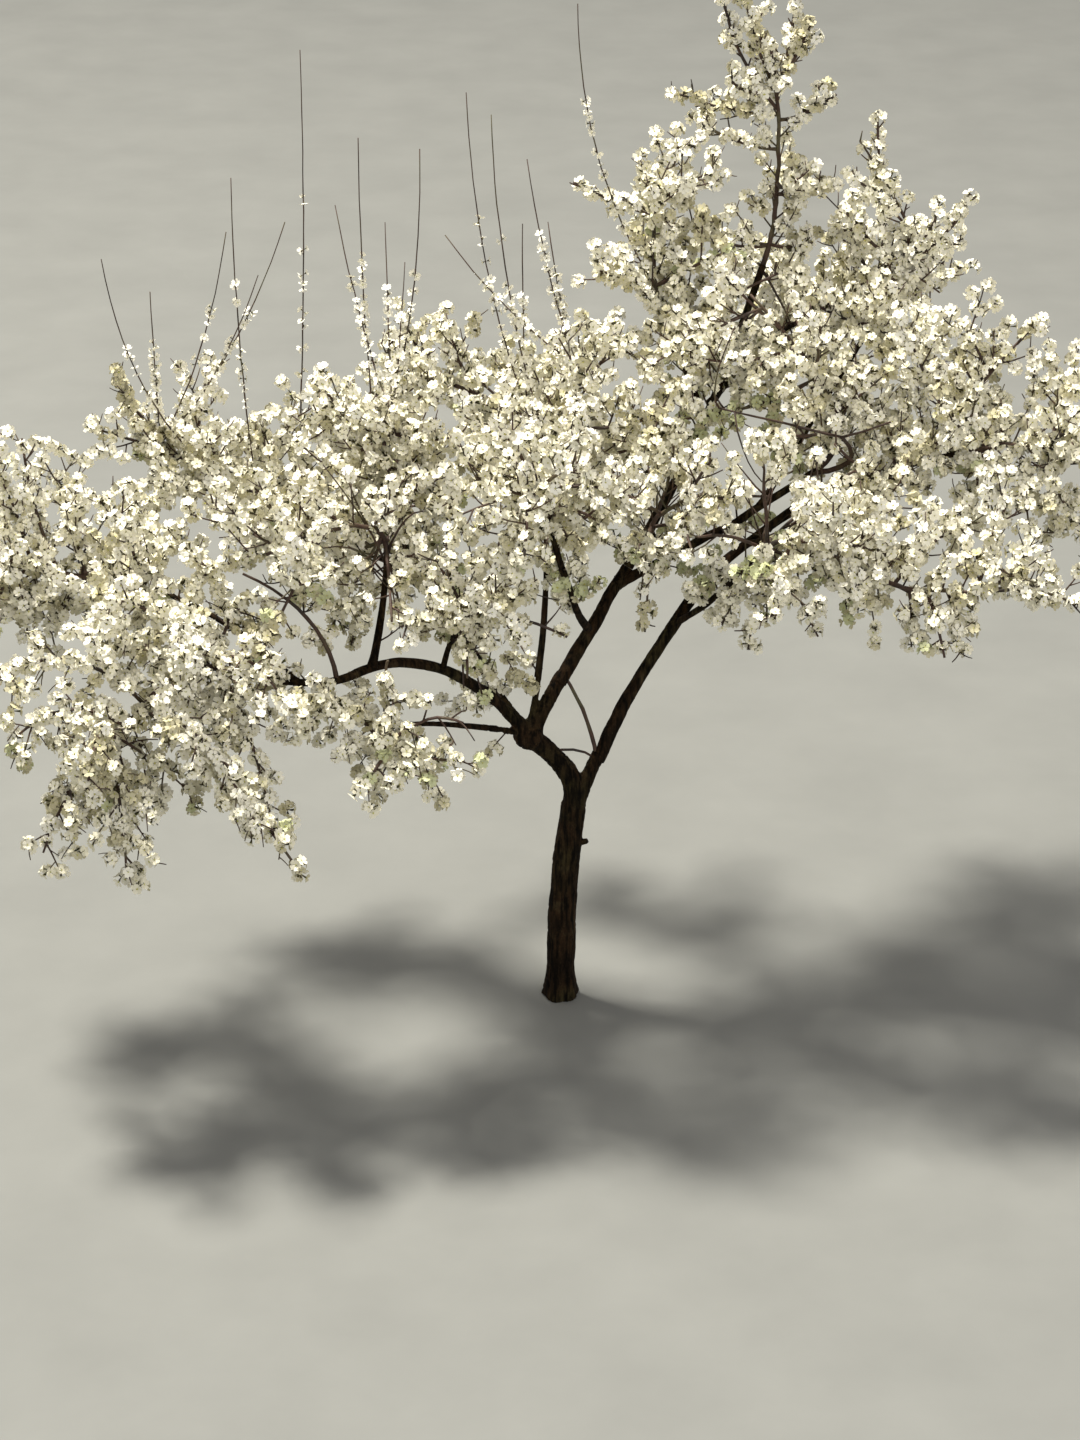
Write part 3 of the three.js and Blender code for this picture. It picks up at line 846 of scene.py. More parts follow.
class FrontView:
    """Stretches of bough and twig that no blossom hides from the front."""

    SPACING = 15
    BEHIND = 20

    def __init__(self) -> None:
        """Starts with nothing kept open."""
        self.points = np.empty((0, 3))
        self.rooms = np.empty(0)

    def keep_open(self, curve: Bezier, first: float, last: float, room: float) -> None:
        """Keeps a stretch of a curve open.

        Args:
            curve: The bough or twig.
            first: Share of it where the stretch starts.
            last: Share where it ends.
            room: How far from the sight line the middle of a cluster has to stay.
        """
        shares = np.linspace(first, last, math.ceil(curve.length * (last - first) / self.SPACING) + 1)
        self.points = np.vstack([self.points, curve.points(shares)])
        self.rooms = np.concatenate([self.rooms, np.full(len(shares), room)])

    def is_hidden_by(self, middle: Vec) -> bool:
        """Whether a cluster at a point would stand in front of an open stretch.

        Args:
            middle: The middle of the cluster.

        Returns:
            True where it is before a stretch and too near the sight line.
        """
        sight = unit(EYE - self.points)
        away = middle - self.points
        ahead = (away * sight).sum(axis=1)
        beside = np.linalg.norm(away - ahead[:, None] * sight, axis=1)
        return bool(((ahead > -self.BEHIND) & (beside < self.rooms)).any())


@dataclass
class FlowerRule:
    """How flowers sit on a twig: in loose round clusters, looking outwards on short stalks.

    A twig is cut in steps of about pitch, with one cluster in each: at the first number of step_part or up to
    the second past it. The flowers of a cluster go round it from highest down by drop, at its radius times
    depth, and those below shaded_below are a tint darker: painted shade on the cluster's underside. The last
    cluster of a twig has tip_share of the flowers. The middles of all clusters lie between crown_low and
    crown_high.
    """

    view: FrontView
    pitch: float = 37
    least_flowers: int = 7
    most_flowers: int = 9
    ball: tuple[float, float] = (14, 21)
    flower_radius: tuple[float, float] = (14, 17.5)
    apart: float = 37
    step_part: tuple[float, float] = (0.25, 0.3)
    sway: float = 9
    highest: float = 0.96
    drop: float = 1.7
    depth: tuple[float, float] = (0.8, 1.15)
    shaded_below: float = -0.1
    bare_stem: float = 0.6
    tip_share: float = 0.72
    crown_low: Triple = (-1690, -990, 0)
    crown_high: Triple = (1695, 1140, 3010)

    def __post_init__(self) -> None:
        """Makes the grid of the places that are taken."""
        self.grid = ClusterGrid(self.apart)

    def in_crown(self, middle: Vec) -> bool:
        """Whether the middle of a cluster lies in the box that holds the crown."""
        return bool((middle > self.crown_low).all() and (middle < self.crown_high).all())

    def dress(self, twig: Twig, flowers: Flowers, random: Seeded) -> None:
        """Puts clusters along a twig.

        Args:
            twig: The twig that flowers.
            flowers: The blossom that the clusters are added to.
            random: The numbers to draw from.
        """
        bare = self.bare_stem if twig.size is STEM else twig.size.bare
        count = max(1, round(twig.curve.length * (1 - bare) / self.pitch))
        first, spread = self.step_part
        for index in range(count):
            share = 1 - (index + first + spread * random.draw()) / count * (1 - bare)
            foot = twig.curve.points(share)
            middle = foot + random.shift() * 2 * self.sway
            if self.in_crown(middle) and not self.view.is_hidden_by(middle) and self.grid.claim(middle):
                fullness = self.tip_share if index == 0 else 1.0
                self.cluster(middle, foot, twig.tint, fullness, flowers, random)

    def cluster(
        self, middle: Vec, foot: Vec, tint: Tint, fullness: float, flowers: Flowers, random: Seeded
    ) -> None:
        """Adds a round cluster of flowers that look outwards from its middle.

        Args:
            middle: The middle of the cluster.
            foot: Where the stalks meet on the twig.
            tint: The petal colour of the twig's spray.
            fullness: The share of its flowers that it has.
            flowers: The blossom that it is added to.
            random: The numbers to draw from.
        """
        count = self.least_flowers + int(random.draw() * (self.most_flowers - self.least_flowers + 1))
        count = round(count * fullness)
        turn = random.turn()
        ball = random.between(*self.ball) * math.sqrt(fullness)
        for index in range(count):
            height = self.highest - self.drop * (index + 0.5 * random.draw()) / count
            ring = math.sqrt(max(0.0, 1 - height * height))
            angle = turn + index * GOLDEN_TURN
            facing = np.array([ring * math.cos(angle), ring * math.sin(angle), height])
            place = middle + facing * (ball * random.between(*self.depth))
            # Painted shade: a flower that faces down takes the next darker tint, down to buff.
            shaded = Tint(min(tint.value + 1, Tint.SHADE_BUFF.value)) if height < self.shaded_below else tint
            flowers.add(place, facing, foot, random.between(*self.flower_radius), shaded)


@dataclass
class FineGrowth:
    """Carries a mass on to side twigs and flowers, within the reach of its space.

    LENGTHS are the parts of its reach that a side twig tries, until its tip has TIP_ROOM. A drawn number
    above a floor of TINT_FLOORS gives that tint. DOT_SHARES are the places of the flowers on a bare shoot.
    """

    FILLER_BOW = 12
    WISP_START = (1, 1, 0.6)
    WISP_STRAIGHT = 0.45
    STEM_ROOTS = np.linspace(0.2, 0.95, 16)
    TINTED_AT = 0.6
    ARM_STRAY = 1.05
    BARE_FOOT = 0.06
    SHORTER_TO_TIP = 0.45
    CROSSWISE = (0.31, 0.62, 0.72)
    LENGTHS = (1, 0.7, 0.45)
    STRAIGHT = 0.55
    TIP_ROOM = 18.0
    # Painted light and shade: sprays high in a mass draw whiter tints, and low ones duller tints.
    PAINTED_LIGHT_ABOVE = 0.16
    TINT_FLOORS = ((0.62, Tint.WHITE), (0.34, Tint.IVORY), (0.14, Tint.CREAM), (0.02, Tint.SHADE_BUFF))
    DOT_SHARES = np.arange(0.04, 0.7, 0.026)
    DOT_THINNING = 0.8
    DOT_REACH = 9
    DOT_RADIUS = (10, 14)

    plan: MassPlan
    limbs: TakenSpace
    rule: FlowerRule
    random: Seeded

    def grow(self, skeleton: list[Twig], flowers: Flowers) -> list[Twig]:
        """Grows the side twigs of a mass and dresses every twig with flowers.

        Args:
            skeleton: The stem, sprays, arms and shoots of the mass.
            flowers: The blossom of the region, which is added to.

        Returns:
            All twigs of the mass, the skeleton's first.
        """
        twigs: list[Twig] = []
        fillers = [self.filler(skeleton[0].curve, tip) for tip in self.plan.fillers]
        wisps = [self.wisp(skeleton[0].curve, tip) for tip in self.plan.wisps]
        for twig in [*skeleton, *fillers, *wisps]:
            tinted = Twig(twig.curve, twig.size, self.tint(twig.curve.points(self.TINTED_AT)), twig.blossoms)
            twigs.append(tinted)
            if twig.blossoms:
                sides = self.side_twigs(tinted, self.growth_on(twig))
                twigs += sides
                for side in sides:
                    twigs += self.side_twigs(side, ON_SIDE)
        for twig in twigs:
            if twig.blossoms:
                self.rule.dress(twig, flowers, self.random)
            else:
                self.dot_shoot(twig, flowers)
        return twigs

    def filler(self, stem: Bezier, tip: Triple) -> Twig:
        """A finer flowering twig from the nearest part of the stem to its tip in a gap."""
        root, goal = self.nearest_on(stem, tip), vector(tip)
        return Twig(Bezier.bowed(root, goal - root, UP * self.FILLER_BOW), FILLER)

    def wisp(self, stem: Bezier, tip: Triple) -> Twig:
        """A finer bare shoot that leaves the stem sideways and rises to its tip.

        Args:
            stem: The stem of the mass.
            tip: Where the shoot ends.

        Returns:
            The shoot.
        """
        root, goal = self.nearest_on(stem, tip), vector(tip)
        direction = unit((goal - root) * self.WISP_START)
        return Twig(Bezier.bent(root, direction, goal, self.WISP_STRAIGHT), SHOOT, blossoms=False)

    def nearest_on(self, stem: Bezier, tip: Triple) -> Vec:
        """The place on the stem, past its foot, that is nearest to a tip."""
        roots = stem.points(self.STEM_ROOTS)
        return roots[int(np.argmin(np.linalg.norm(roots - vector(tip), axis=1)))]

    def growth_on(self, twig: Twig) -> SideGrowth:
        """The way side twigs leave a twig: short on an arm, which runs out of the space.

        Args:
            twig: The twig that carries them.

        Returns:
            How they leave it.
        """
        if twig.size is STEM:
            return ON_STEM
        return ON_SPRAY if self.inside(twig.curve.tip, self.ARM_STRAY) else ON_ARM

    def inside(self, point: Vec, stray: float) -> bool:
        """Whether a point lies in the space, grown by stray."""
        away = (point - vector(self.plan.centre)) / vector(self.plan.half)
        return float(np.linalg.norm(away)) <= stray

    def level(self, point: Vec) -> float:
        """How high a point lies in the space: -1 at its foot, 1 at its top."""
        return (point[2] - self.plan.centre[2]) / self.plan.half[2]

    def slimness(self, point: Vec) -> float:
        """How long side twigs are at a point, for the mass may get slimmer to its top."""
        return 1 + (self.plan.top_share - 1) * min(1.0, max(0.0, (self.level(point) + 1) / 2))

    def side_twigs(self, parent: Twig, growth: SideGrowth, bare: float = BARE_FOOT) -> list[Twig]:
        """Side twigs along a parent, each a golden turn round it from the last.

        Args:
            parent: The twig that they leave.
            growth: How they leave it.
            bare: The share at the parent's foot that has none.

        Returns:
            The side twigs that have room.
        """
        made: list[Twig] = []
        curve = parent.curve
        count = round(curve.length * (1 - bare) / growth.pitch)
        turn = self.random.turn()
        for index in range(count):
            share = bare + (1 - bare) * (index + self.random.draw()) / count
            reach = self.random.between(growth.least, growth.most) * (1 - self.SHORTER_TO_TIP * share)
            if growth is not ON_ARM:
                reach *= self.slimness(curve.points(share))
            twig = self.side_twig(curve, share, turn + index * GOLDEN_TURN, reach, growth)
            if twig is not None:
                made.append(twig)
        return made

    def side_twig(
        self, curve: Bezier, share: float, turn: float, reach: float, growth: SideGrowth
    ) -> Twig | None:
        """One side twig of a curve, shortened until it has room.

        Args:
            curve: The twig or bough that it leaves.
            share: Where on it.
            turn: The way that it leaves, as an angle round the curve.
            reach: Its full length.
            growth: How it leaves.

        Returns:
            The twig, its tip in the space and clear of the limbs, or None where there is no room or where it
            would stand before an open stretch.
        """
        root, along = curve.points(share), curve.tangents(share)
        across = unit(np.cross(along, self.CROSSWISE))
        around = across * math.cos(turn) + np.cross(along, across) * math.sin(turn)
        direction = unit(along * growth.forward + around + UP * self.plan.lift)
        lean = 1 if self.plan.lift > 0 else -1
        for part in self.LENGTHS:
            length = reach * part
            tip = root + direction * length + UP * (growth.curl * lean * length)
            roomy = growth in (ON_ARM, ON_BOUGH) or self.inside(tip, self.plan.stray)
            if roomy and self.limbs.is_free(tip[None], np.array([self.TIP_ROOM]), 0.0):
                bend = root + direction * (length * self.STRAIGHT)
                twig = Twig(Bezier(root, bend, tip), growth.size, self.tint(tip))
                ends = (tip, root) if growth is ON_BOUGH else (tip,)
                return None if any(map(self.rule.view.is_hidden_by, ends)) else twig
        return None

    def spurs(self, limb: GrownLimb, flowers: Flowers) -> list[Twig]:
        """Grows short twigs along a bough, past its bare foot, and dresses them with flowers.

        Args:
            limb: The bough in its place.
            flowers: The blossom of the region, which is added to.

        Returns:
            The twigs.
        """
        bough = Twig(limb.curve, TwigSize(0, 0, 0, 0))
        made = self.side_twigs(bough, ON_BOUGH, LIMBS[limb.name].bare)
        for twig in list(made):
            made += self.side_twigs(twig, ON_SIDE)
        for twig in made:
            self.rule.dress(twig, flowers, self.random)
        return made

    def tint(self, point: Vec) -> Tint:
        """A petal colour for a spray, with painted light at the top of the space and painted shade under it.
        """
        drawn = self.random.draw() + self.PAINTED_LIGHT_ABOVE * self.level(point)
        return next((tint for floor, tint in self.TINT_FLOORS if drawn > floor), Tint.BUDDING)

    def dot_shoot(self, shoot: Twig, flowers: Flowers) -> None:
        """Pairs of small flowers along a bare shoot but not near its tip, fewer towards its top.

        Args:
            shoot: The bare shoot.
            flowers: The blossom of the region, which is added to.
        """
        for share in self.DOT_SHARES:
            if self.random.draw() < 1 - self.DOT_THINNING * share:
                facing = unit(self.random.shift())
                foot = shoot.curve.points(share)
                for side in (facing, -facing):
                    radius = self.random.between(*self.DOT_RADIUS)
                    flowers.add(foot + side * self.DOT_REACH, side, foot, radius, Tint.WHITE)


# Meshes.


def lattice_noise(points: Vec, seed: int) -> Vec:
    """Smooth noise from -1 to 1.

    Args:
        points: Places as rows of three, one cell of noise to a unit.
        seed: Which noise.

    Returns:
        One value for each row.
    """
    primes, seed_prime, mixing_prime, mask = (73856093, 19349663, 83492791), 6542989, 1274126177, 0xFFFF
    cells = np.floor(points).astype(np.int64)
    parts = points - cells
    eased = parts * parts * (3 - 2 * parts)
    total = np.zeros(points.shape[:-1])
    for corner in product((0, 1), repeat=3):
        offset = np.array(corner)
        weight = np.prod(np.where(offset == 1, eased, 1 - eased), axis=-1)
        mixed = ((cells + offset) * np.array(primes)).sum(-1) + seed * seed_prime
        mixed = (mixed ^ (mixed >> 13)) * mixing_prime
        total += weight * (((mixed ^ (mixed >> 16)) & mask) / (mask / 2) - 1)
    return total


def folded_noise(points: Vec, seed: int, octaves: int = 2) -> Vec:
    """Noise in several octaves, each half the size and strength of the one before."""
    return sum(lattice_noise(points * 2**step, seed + step) / 2**step for step in range(octaves))


def placed(name: str, data: bpy.types.ID) -> bpy.types.Object:
    """A new object in the scene for a mesh, a lamp or a camera.

    Args:
        name: Its name.
        data: What it shows.

    Returns:
        The object, at the origin.
    """
    made = bpy.data.objects.new(name, data)
    bpy.context.scene.collection.objects.link(made)
    return made


class JoinedMesh:
    """Triangles of many small forms, joined into one piece."""

    def __init__(self) -> None:
        """Starts empty."""
        self.corners: list[Vec] = []
        self.faces: list[Vec] = []
        self.finishes: list[Vec] = []
        self.count = 0

    def add(self, corners: Vec, faces: Vec, finishes: Any = 0) -> None:
        """Adds a form.

        Args:
            corners: Places in millimetres, as rows of three.
            faces: Rows of three corner numbers.
            finishes: The place of each face's finish in the piece's list, or one for all.
        """
        self.corners.append(corners)
        self.faces.append(faces + self.count)
        self.finishes.append(np.broadcast_to(np.asarray(finishes), len(faces)))
        self.count += len(corners)

    def piece(self, name: str, finishes: Iterable[bpy.types.Material]) -> bpy.types.Object:
        """The joined forms as one object in metres, smooth shaded, with its finishes.

        Args:
            name: The piece's name.
            finishes: Its materials, in the order that the faces number them.

        Returns:
            The piece, linked to the scene.
        """
        corners, faces = np.vstack(self.corners) * MM, np.vstack(self.faces)
        mesh = bpy.data.meshes.new(name)
        mesh.vertices.add(len(corners))
        mesh.vertices.foreach_set("co", corners.astype(np.float32).ravel())
        mesh.loops.add(faces.size)
        mesh.loops.foreach_set("vertex_index", faces.astype(np.int32).ravel())
        mesh.polygons.add(len(faces))
        mesh.polygons.foreach_set("loop_start", np.arange(0, faces.size, 3, dtype=np.int32))
        for finish in finishes:
            mesh.materials.append(finish)
        mesh.polygons.foreach_set("material_index", np.concatenate(self.finishes).astype(np.int32))
        mesh.update(calc_edges=True)
        mesh.validate()
        mesh.shade_smooth()
        return placed(name, mesh)


def ring_frames(curve: Bezier, shares: Vec) -> tuple[Vec, Vec]:
    """Cross directions at shares of a curve, which turn as little as the curve lets them.

    Args:
        curve: The middle line of a tube.
        shares: Where its rings lie.

    Returns:
        Two directions across the curve for each share.
    """
    nearly_along = 1e-6
    tangents = curve.tangents(shares)
    normal = np.array([0.0, 1.0, 0.0])
    normals = np.empty_like(tangents)
    for index, tangent in enumerate(tangents):
        normal = normal - tangent * float(normal @ tangent)
        if float(normal @ normal) < nearly_along:
            normal = np.array([1.0, 0.0, 0.0]) - tangent * tangent[0]
        normal = unit(normal)
        normals[index] = normal
    return normals, np.cross(normals, tangents)


def tube(curve: Bezier, shares: Vec, radii: Vec, sides: int, wander: Vec | None = None) -> tuple[Vec, Vec]:
    """A closed tube along a curve.

    Args:
        curve: The middle line.
        shares: Where the rings lie.
        radii: The half width of each ring, as one column, or one value for each of its corners.
        sides: Corners to a ring.
        wander: How far each ring is moved off the line, as rows of three.

    Returns:
        The corners and the triangles.
    """
    normals, acrosses = ring_frames(curve, shares)
    angles = even_turns(sides)[None, :, None]
    middles = curve.points(shares) + (0 if wander is None else wander)
    around = normals[:, None, :] * np.cos(angles) + acrosses[:, None, :] * np.sin(angles)
    corners = middles[:, None, :] + around * np.broadcast_to(radii, (len(shares), sides))[..., None]
    ends = np.array([middles[0], middles[-1]])
    ring = np.arange(sides)
    after = (ring + 1) % sides
    starts = (np.arange(len(shares) - 1) * sides)[:, None]
    first = np.stack([starts + ring, starts + sides + ring, starts + after], axis=-1).reshape(-1, 3)
    second = np.stack([starts + after, starts + sides + ring, starts + sides + after], axis=-1).reshape(-1, 3)
    total = len(shares) * sides
    foot = np.stack([np.full(sides, total), ring, after], axis=-1)
    top = total - sides
    cap = np.stack([np.full(sides, total + 1), top + after, top + ring], axis=-1)
    return np.vstack([corners.reshape(-1, 3), ends]), np.vstack([first, second, foot, cap])


class FlowerPart(IntEnum):
    """The kinds of triangle in a flower."""

    PETAL = 0
    HEART = 1
    STALK = 2


@dataclass(frozen=True)
class Cone:
    """A small open cone in a flower: its sides, its radius, and how high its rim and its apex lie."""

    part: FlowerPart
    sides: int
    radius: float
    rim: float
    apex: float


@dataclass(frozen=True)
class FlowerForm:
    """A five-petalled flower with a small heart, on a stalk, as a few triangles of radius 1 that look up.

    A corner of a petal has a radius, an angle from the petal's middle, and a height.
    """

    petals: int = 5
    petal_outline: tuple[Triple, ...] = (
        (0.05, 0.0, 0.0), (0.68, -0.64, 0.12), (1.0, -0.33, 0.26), (1.0, 0.33, 0.26), (0.68, 0.64, 0.12),
    )
    cones: tuple[Cone, ...] = (
        Cone(FlowerPart.HEART, 4, 0.17, 0.03, 0.2),
        Cone(FlowerPart.STALK, 3, 0.25, -0.01, -1.0),
    )
    roughness: float = 0.05
    tilt: float = 0.15
    cupping: tuple[float, float] = (0.5, 1.7)

    def shape(self) -> tuple[Vec, Vec, Vec]:
        """The flower's form.

        Returns:
            Its corners, its triangles and each triangle's part. The last corner is the foot of the stalk.
        """
        corners: list[Triple] = []
        faces: list[tuple[int, int, int]] = []
        parts: list[FlowerPart] = []
        for middle in even_turns(self.petals):
            start = len(corners)
            corners += [
                (radius * math.cos(middle + turn), radius * math.sin(middle + turn), height)
                for radius, turn, height in self.petal_outline
            ]
            fan = [(start, start + step, start + step + 1) for step in range(1, len(self.petal_outline) - 1)]
            faces += fan
            parts += [FlowerPart.PETAL] * len(fan)
        for cone in self.cones:
            start = len(corners)
            corners += [
                (cone.radius * math.cos(turn), cone.radius * math.sin(turn), cone.rim)
                for turn in even_turns(cone.sides)
            ]
            corners.append((0.0, 0.0, cone.apex))
            rim = [(start + side, start + (side + 1) % cone.sides) for side in range(cone.sides)]
            looks_up = cone.apex > cone.rim
            faces += [(*(edge if looks_up else edge[::-1]), start + cone.sides) for edge in rim]
            parts += [cone.part] * cone.sides
        return np.array(corners), np.array(faces), np.array(parts)

    def build(self, flowers: Flowers, mesh: JoinedMesh, seed: int) -> None:
        """Adds every flower to a mesh.

        Args:
            flowers: Where they sit and look.
            mesh: The joined mesh of the piece.
            seed: The seed of the small differences between them.
        """
        shape, faces, parts = self.shape()
        random = np.random.default_rng(seed)
        count = len(flowers.radii)
        facings = unit(np.array(flowers.facings) + random.normal(0, self.tilt, (count, 3)))
        sides = unit(np.cross(facings, random.normal(0, 1, (count, 3))))
        axes = np.stack([sides, np.cross(facings, sides), facings], axis=1)
        radii = np.array(flowers.radii)[:, None, None]
        cupped = random.uniform(*self.cupping, (count, 1))
        local = shape + random.normal(0, self.roughness, (count, *shape.shape))
        local[..., 2] *= cupped
        corners = np.array(flowers.middles)[:, None, :] + np.einsum("nck,nkd->ncd", local * radii, axes)
        corners[:, -1] = np.array(flowers.feet)
        numbered = faces[None] + (np.arange(count) * len(shape))[:, None, None]
        petal_tints = np.array(flowers.tints)[:, None]
        finishes = np.where(parts == FlowerPart.PETAL, petal_tints, len(Tint) - 1 + parts)
        mesh.add(corners.reshape(-1, 3), numbered.reshape(-1, 3), finishes.ravel())


@dataclass(frozen=True)
class BarkRelief:
    """The relief of old bark, in millimetres: lumps, furrows along the limb, and small flakes.

    A size tells how far one reaches: twice across the limb, then along it. A limb of full_radius has the full
    relief, and others have it times a number within depths.
    """

    lump: float = 3.2
    lump_size: Triple = (46, 46, 90)
    furrow: float = 3.4
    furrow_size: Triple = (11, 11, 46)
    furrow_narrowness: float = 3.2
    furrow_steepness: float = 1.5
    flake: float = 0.9
    flake_size: Triple = (5, 5, 9)
    full_radius: float = 42
    depths: tuple[float, float] = (0.2, 1.1)

    def height(self, places: Vec, radius: Any, seed: int = 0) -> Vec:
        """How far the bark stands out.

        Args:
            places: Points on the limb as rows of three, the third along the limb.
            radius: Half width of the limb there. A slender limb has shallower relief.
            seed: Which bark.

        Returns:
            One height for each row, below 0 in the furrows.
        """
        lumps = folded_noise(places / self.lump_size, seed + 1)
        lines = folded_noise(places / self.furrow_size, seed + 2)
        furrows = np.clip(1 - np.abs(lines) * self.furrow_narrowness, 0, 1) ** self.furrow_steepness
        flakes = lattice_noise(places / self.flake_size, seed + 3)
        depth = np.clip(radius / self.full_radius, *self.depths)
        return (lumps * self.lump - furrows * self.furrow + flakes * self.flake) * depth


def collared(limb: GrownLimb, collar: float, fall: float) -> Callable[[Any], Any]:
    """Half width along a limb with a collar at its root.

    Args:
        limb: The limb.
        collar: How much wider the limb is at its root, as a share.
        fall: How far up the collar reaches, as a multiple of the half width.

    Returns:
        A function from a share of the length to the half width there.
    """

    def radius_at(share: Any) -> Any:
        """Half width at a share of the limb."""
        radius = limb.radius_at(share)
        return radius * (1 + collar * np.exp(-share * limb.curve.length / (fall * radius)))

    return radius_at


@dataclass
class TrunkAndFork:
    """The trunk, the left limb with its knob, and the feet of the limbs that rise there, under one bark.

    Each grid has the rings and the sides of a rough tube.
    """

    limbs: dict[str, GrownLimb]
    trunk: TrunkPlan = field(default_factory=TrunkPlan)
    relief: BarkRelief = field(default_factory=BarkRelief)
    relief_radius: float = 36
    voxel: float = 4.0
    foot: float = 200
    collar: float = 0.55
    collar_fall: float = 1.9
    buried: float = 0.05
    softness: float = 0.5
    smoothing: int = 5
    trunk_grid: tuple[int, int] = (60, 40)
    left_grid: tuple[int, int] = (20, 28)
    stub_grid: tuple[int, int] = (6, 14)
    foot_grid: tuple[int, int] = (16, 18)
    knob_grid: tuple[int, int] = (20, 28)
    knob_size: Triple = (46, 44, 42)
    knob_pole: float = 0.02
    knob_swelling: float = 0.16
    knob_lumps: float = 1.7
    knob_seed: int = 40

    @staticmethod
    def rises_here(name: str) -> bool:
        """Whether a limb's foot belongs to this bark."""
        return name != "limb_left" and LIMBS[name].on in ("trunk", "knob")

    def build(self, finish: bpy.types.Material) -> bpy.types.Object:
        """The bark as one closed mesh with relief, flat at the ground.

        Args:
            finish: The bark.

        Returns:
            The finished piece.
        """
        rough = self.rough()
        mesh = self.merged(rough)
        bpy.data.objects.remove(rough)
        self.carve(mesh)
        self.cut_at_ground(mesh)
        mesh.materials.clear()
        mesh.materials.append(finish)
        mesh.shade_smooth()
        return placed("bark_trunk", mesh)

    def rough(self) -> bpy.types.Object:
        """The plain tubes and the knob, still passing through one another.

        Returns:
            A piece that is only a step on the way.
        """
        joined = JoinedMesh()
        rings, sides = self.trunk_grid
        shares = np.linspace(-self.buried, 1, rings)
        radii = self.trunk.radius_at(np.clip(shares, 0, 1)[:, None], even_turns(sides)[None, :])
        joined.add(*tube(self.trunk.curve, shares, radii, sides))
        left = self.limbs["limb_left"]
        joined.add(*self.plain(left.curve, left.radius_at, self.left_grid))
        joined.add(*self.knob())
        stub = Bezier.bowed(self.trunk.curve.points(STUB.at), vector(STUB.reach), np.zeros(3))
        joined.add(*self.plain(stub, taper(STUB.butt, STUB.end), self.stub_grid))
        for name, limb in self.limbs.items():
            if name in LIMBS and self.rises_here(name):
                radius_at = collared(limb, self.collar, self.collar_fall)
                last = min(1, self.foot / limb.curve.length)
                joined.add(*self.plain(limb.curve, radius_at, self.foot_grid, last))
        return joined.piece("fork_rough", [])

    @staticmethod
    def plain(
        curve: Bezier, radius_at: Callable[[Any], Any], grid: tuple[int, int], last: float = 1
    ) -> tuple[Vec, Vec]:
        """A smooth tube from the root of a curve to its share last."""
        shares = np.linspace(0, last, grid[0])
        return tube(curve, shares, radius_at(shares)[:, None], grid[1])

    def knob(self) -> tuple[Vec, Vec]:
        """The pruning knob as a ball of rings, swollen where old cuts healed over.

        Returns:
            The corners and the triangles.
        """
        middle = self.limbs["knob"].curve.points(0)
        levels, around = self.knob_grid
        heights = np.cos(np.linspace(self.knob_pole, math.pi - self.knob_pole, levels))[::-1]
        rings = np.sqrt(1 - heights**2)
        corners, faces = tube(Bezier(-UP, np.zeros(3), UP), (heights + 1) / 2, rings[:, None], around)
        lumps = folded_noise(corners * self.knob_lumps + 5, self.knob_seed)
        return corners * (1 + self.knob_swelling * lumps)[:, None] * vector(self.knob_size) + middle, faces

    def merged(self, rough: bpy.types.Object) -> bpy.types.Mesh:
        """One skin over the rough forms, with soft hollows where they meet.

        Args:
            rough: The rough forms.

        Returns:
            The mesh of the skin.
        """
        skin = rough.modifiers.new("skin", "REMESH")
        skin.mode, skin.voxel_size = "VOXEL", self.voxel * MM
        soft = rough.modifiers.new("soft", "SMOOTH")
        soft.factor, soft.iterations = self.softness, self.smoothing
        graph = bpy.context.evaluated_depsgraph_get()
        return bpy.data.meshes.new_from_object(rough.evaluated_get(graph))

    def carve(self, mesh: bpy.types.Mesh) -> None:
        """Moves every corner out or in along its normal, by the bark's relief.

        Args:
            mesh: The mesh of the skin, which is changed.
        """
        places = np.empty(len(mesh.vertices) * 3, dtype=np.float32)
        mesh.vertices.foreach_get("co", places)
        normals = np.empty_like(places)
        mesh.vertex_normals.foreach_get("vector", normals)
        places = places.reshape(-1, 3).astype(float) / MM
        relief = self.relief.height(places, self.relief_radius)
        places += normals.reshape(-1, 3) * relief[:, None]
        mesh.vertices.foreach_set("co", (places * MM).astype(np.float32).ravel())
        mesh.update()

    def cut_at_ground(self, mesh: bpy.types.Mesh) -> None:
        """Cuts the foot off flat at ground level and closes it.

        Args:
            mesh: The mesh of the skin, which is changed.
        """
        work = bmesh.new()
        work.from_mesh(mesh)
        everything = [*work.verts, *work.edges, *work.faces]
        cut = bmesh.ops.bisect_plane(
            work, geom=everything, plane_co=(0, 0, 0), plane_no=-UP, clear_outer=True, clear_inner=False
        )
        edges = [part for part in cut["geom_cut"] if isinstance(part, bmesh.types.BMEdge)]
        bmesh.ops.contextual_create(work, geom=edges)
        bmesh.ops.triangulate(work, faces=work.faces)
        work.to_mesh(mesh)
        work.free()


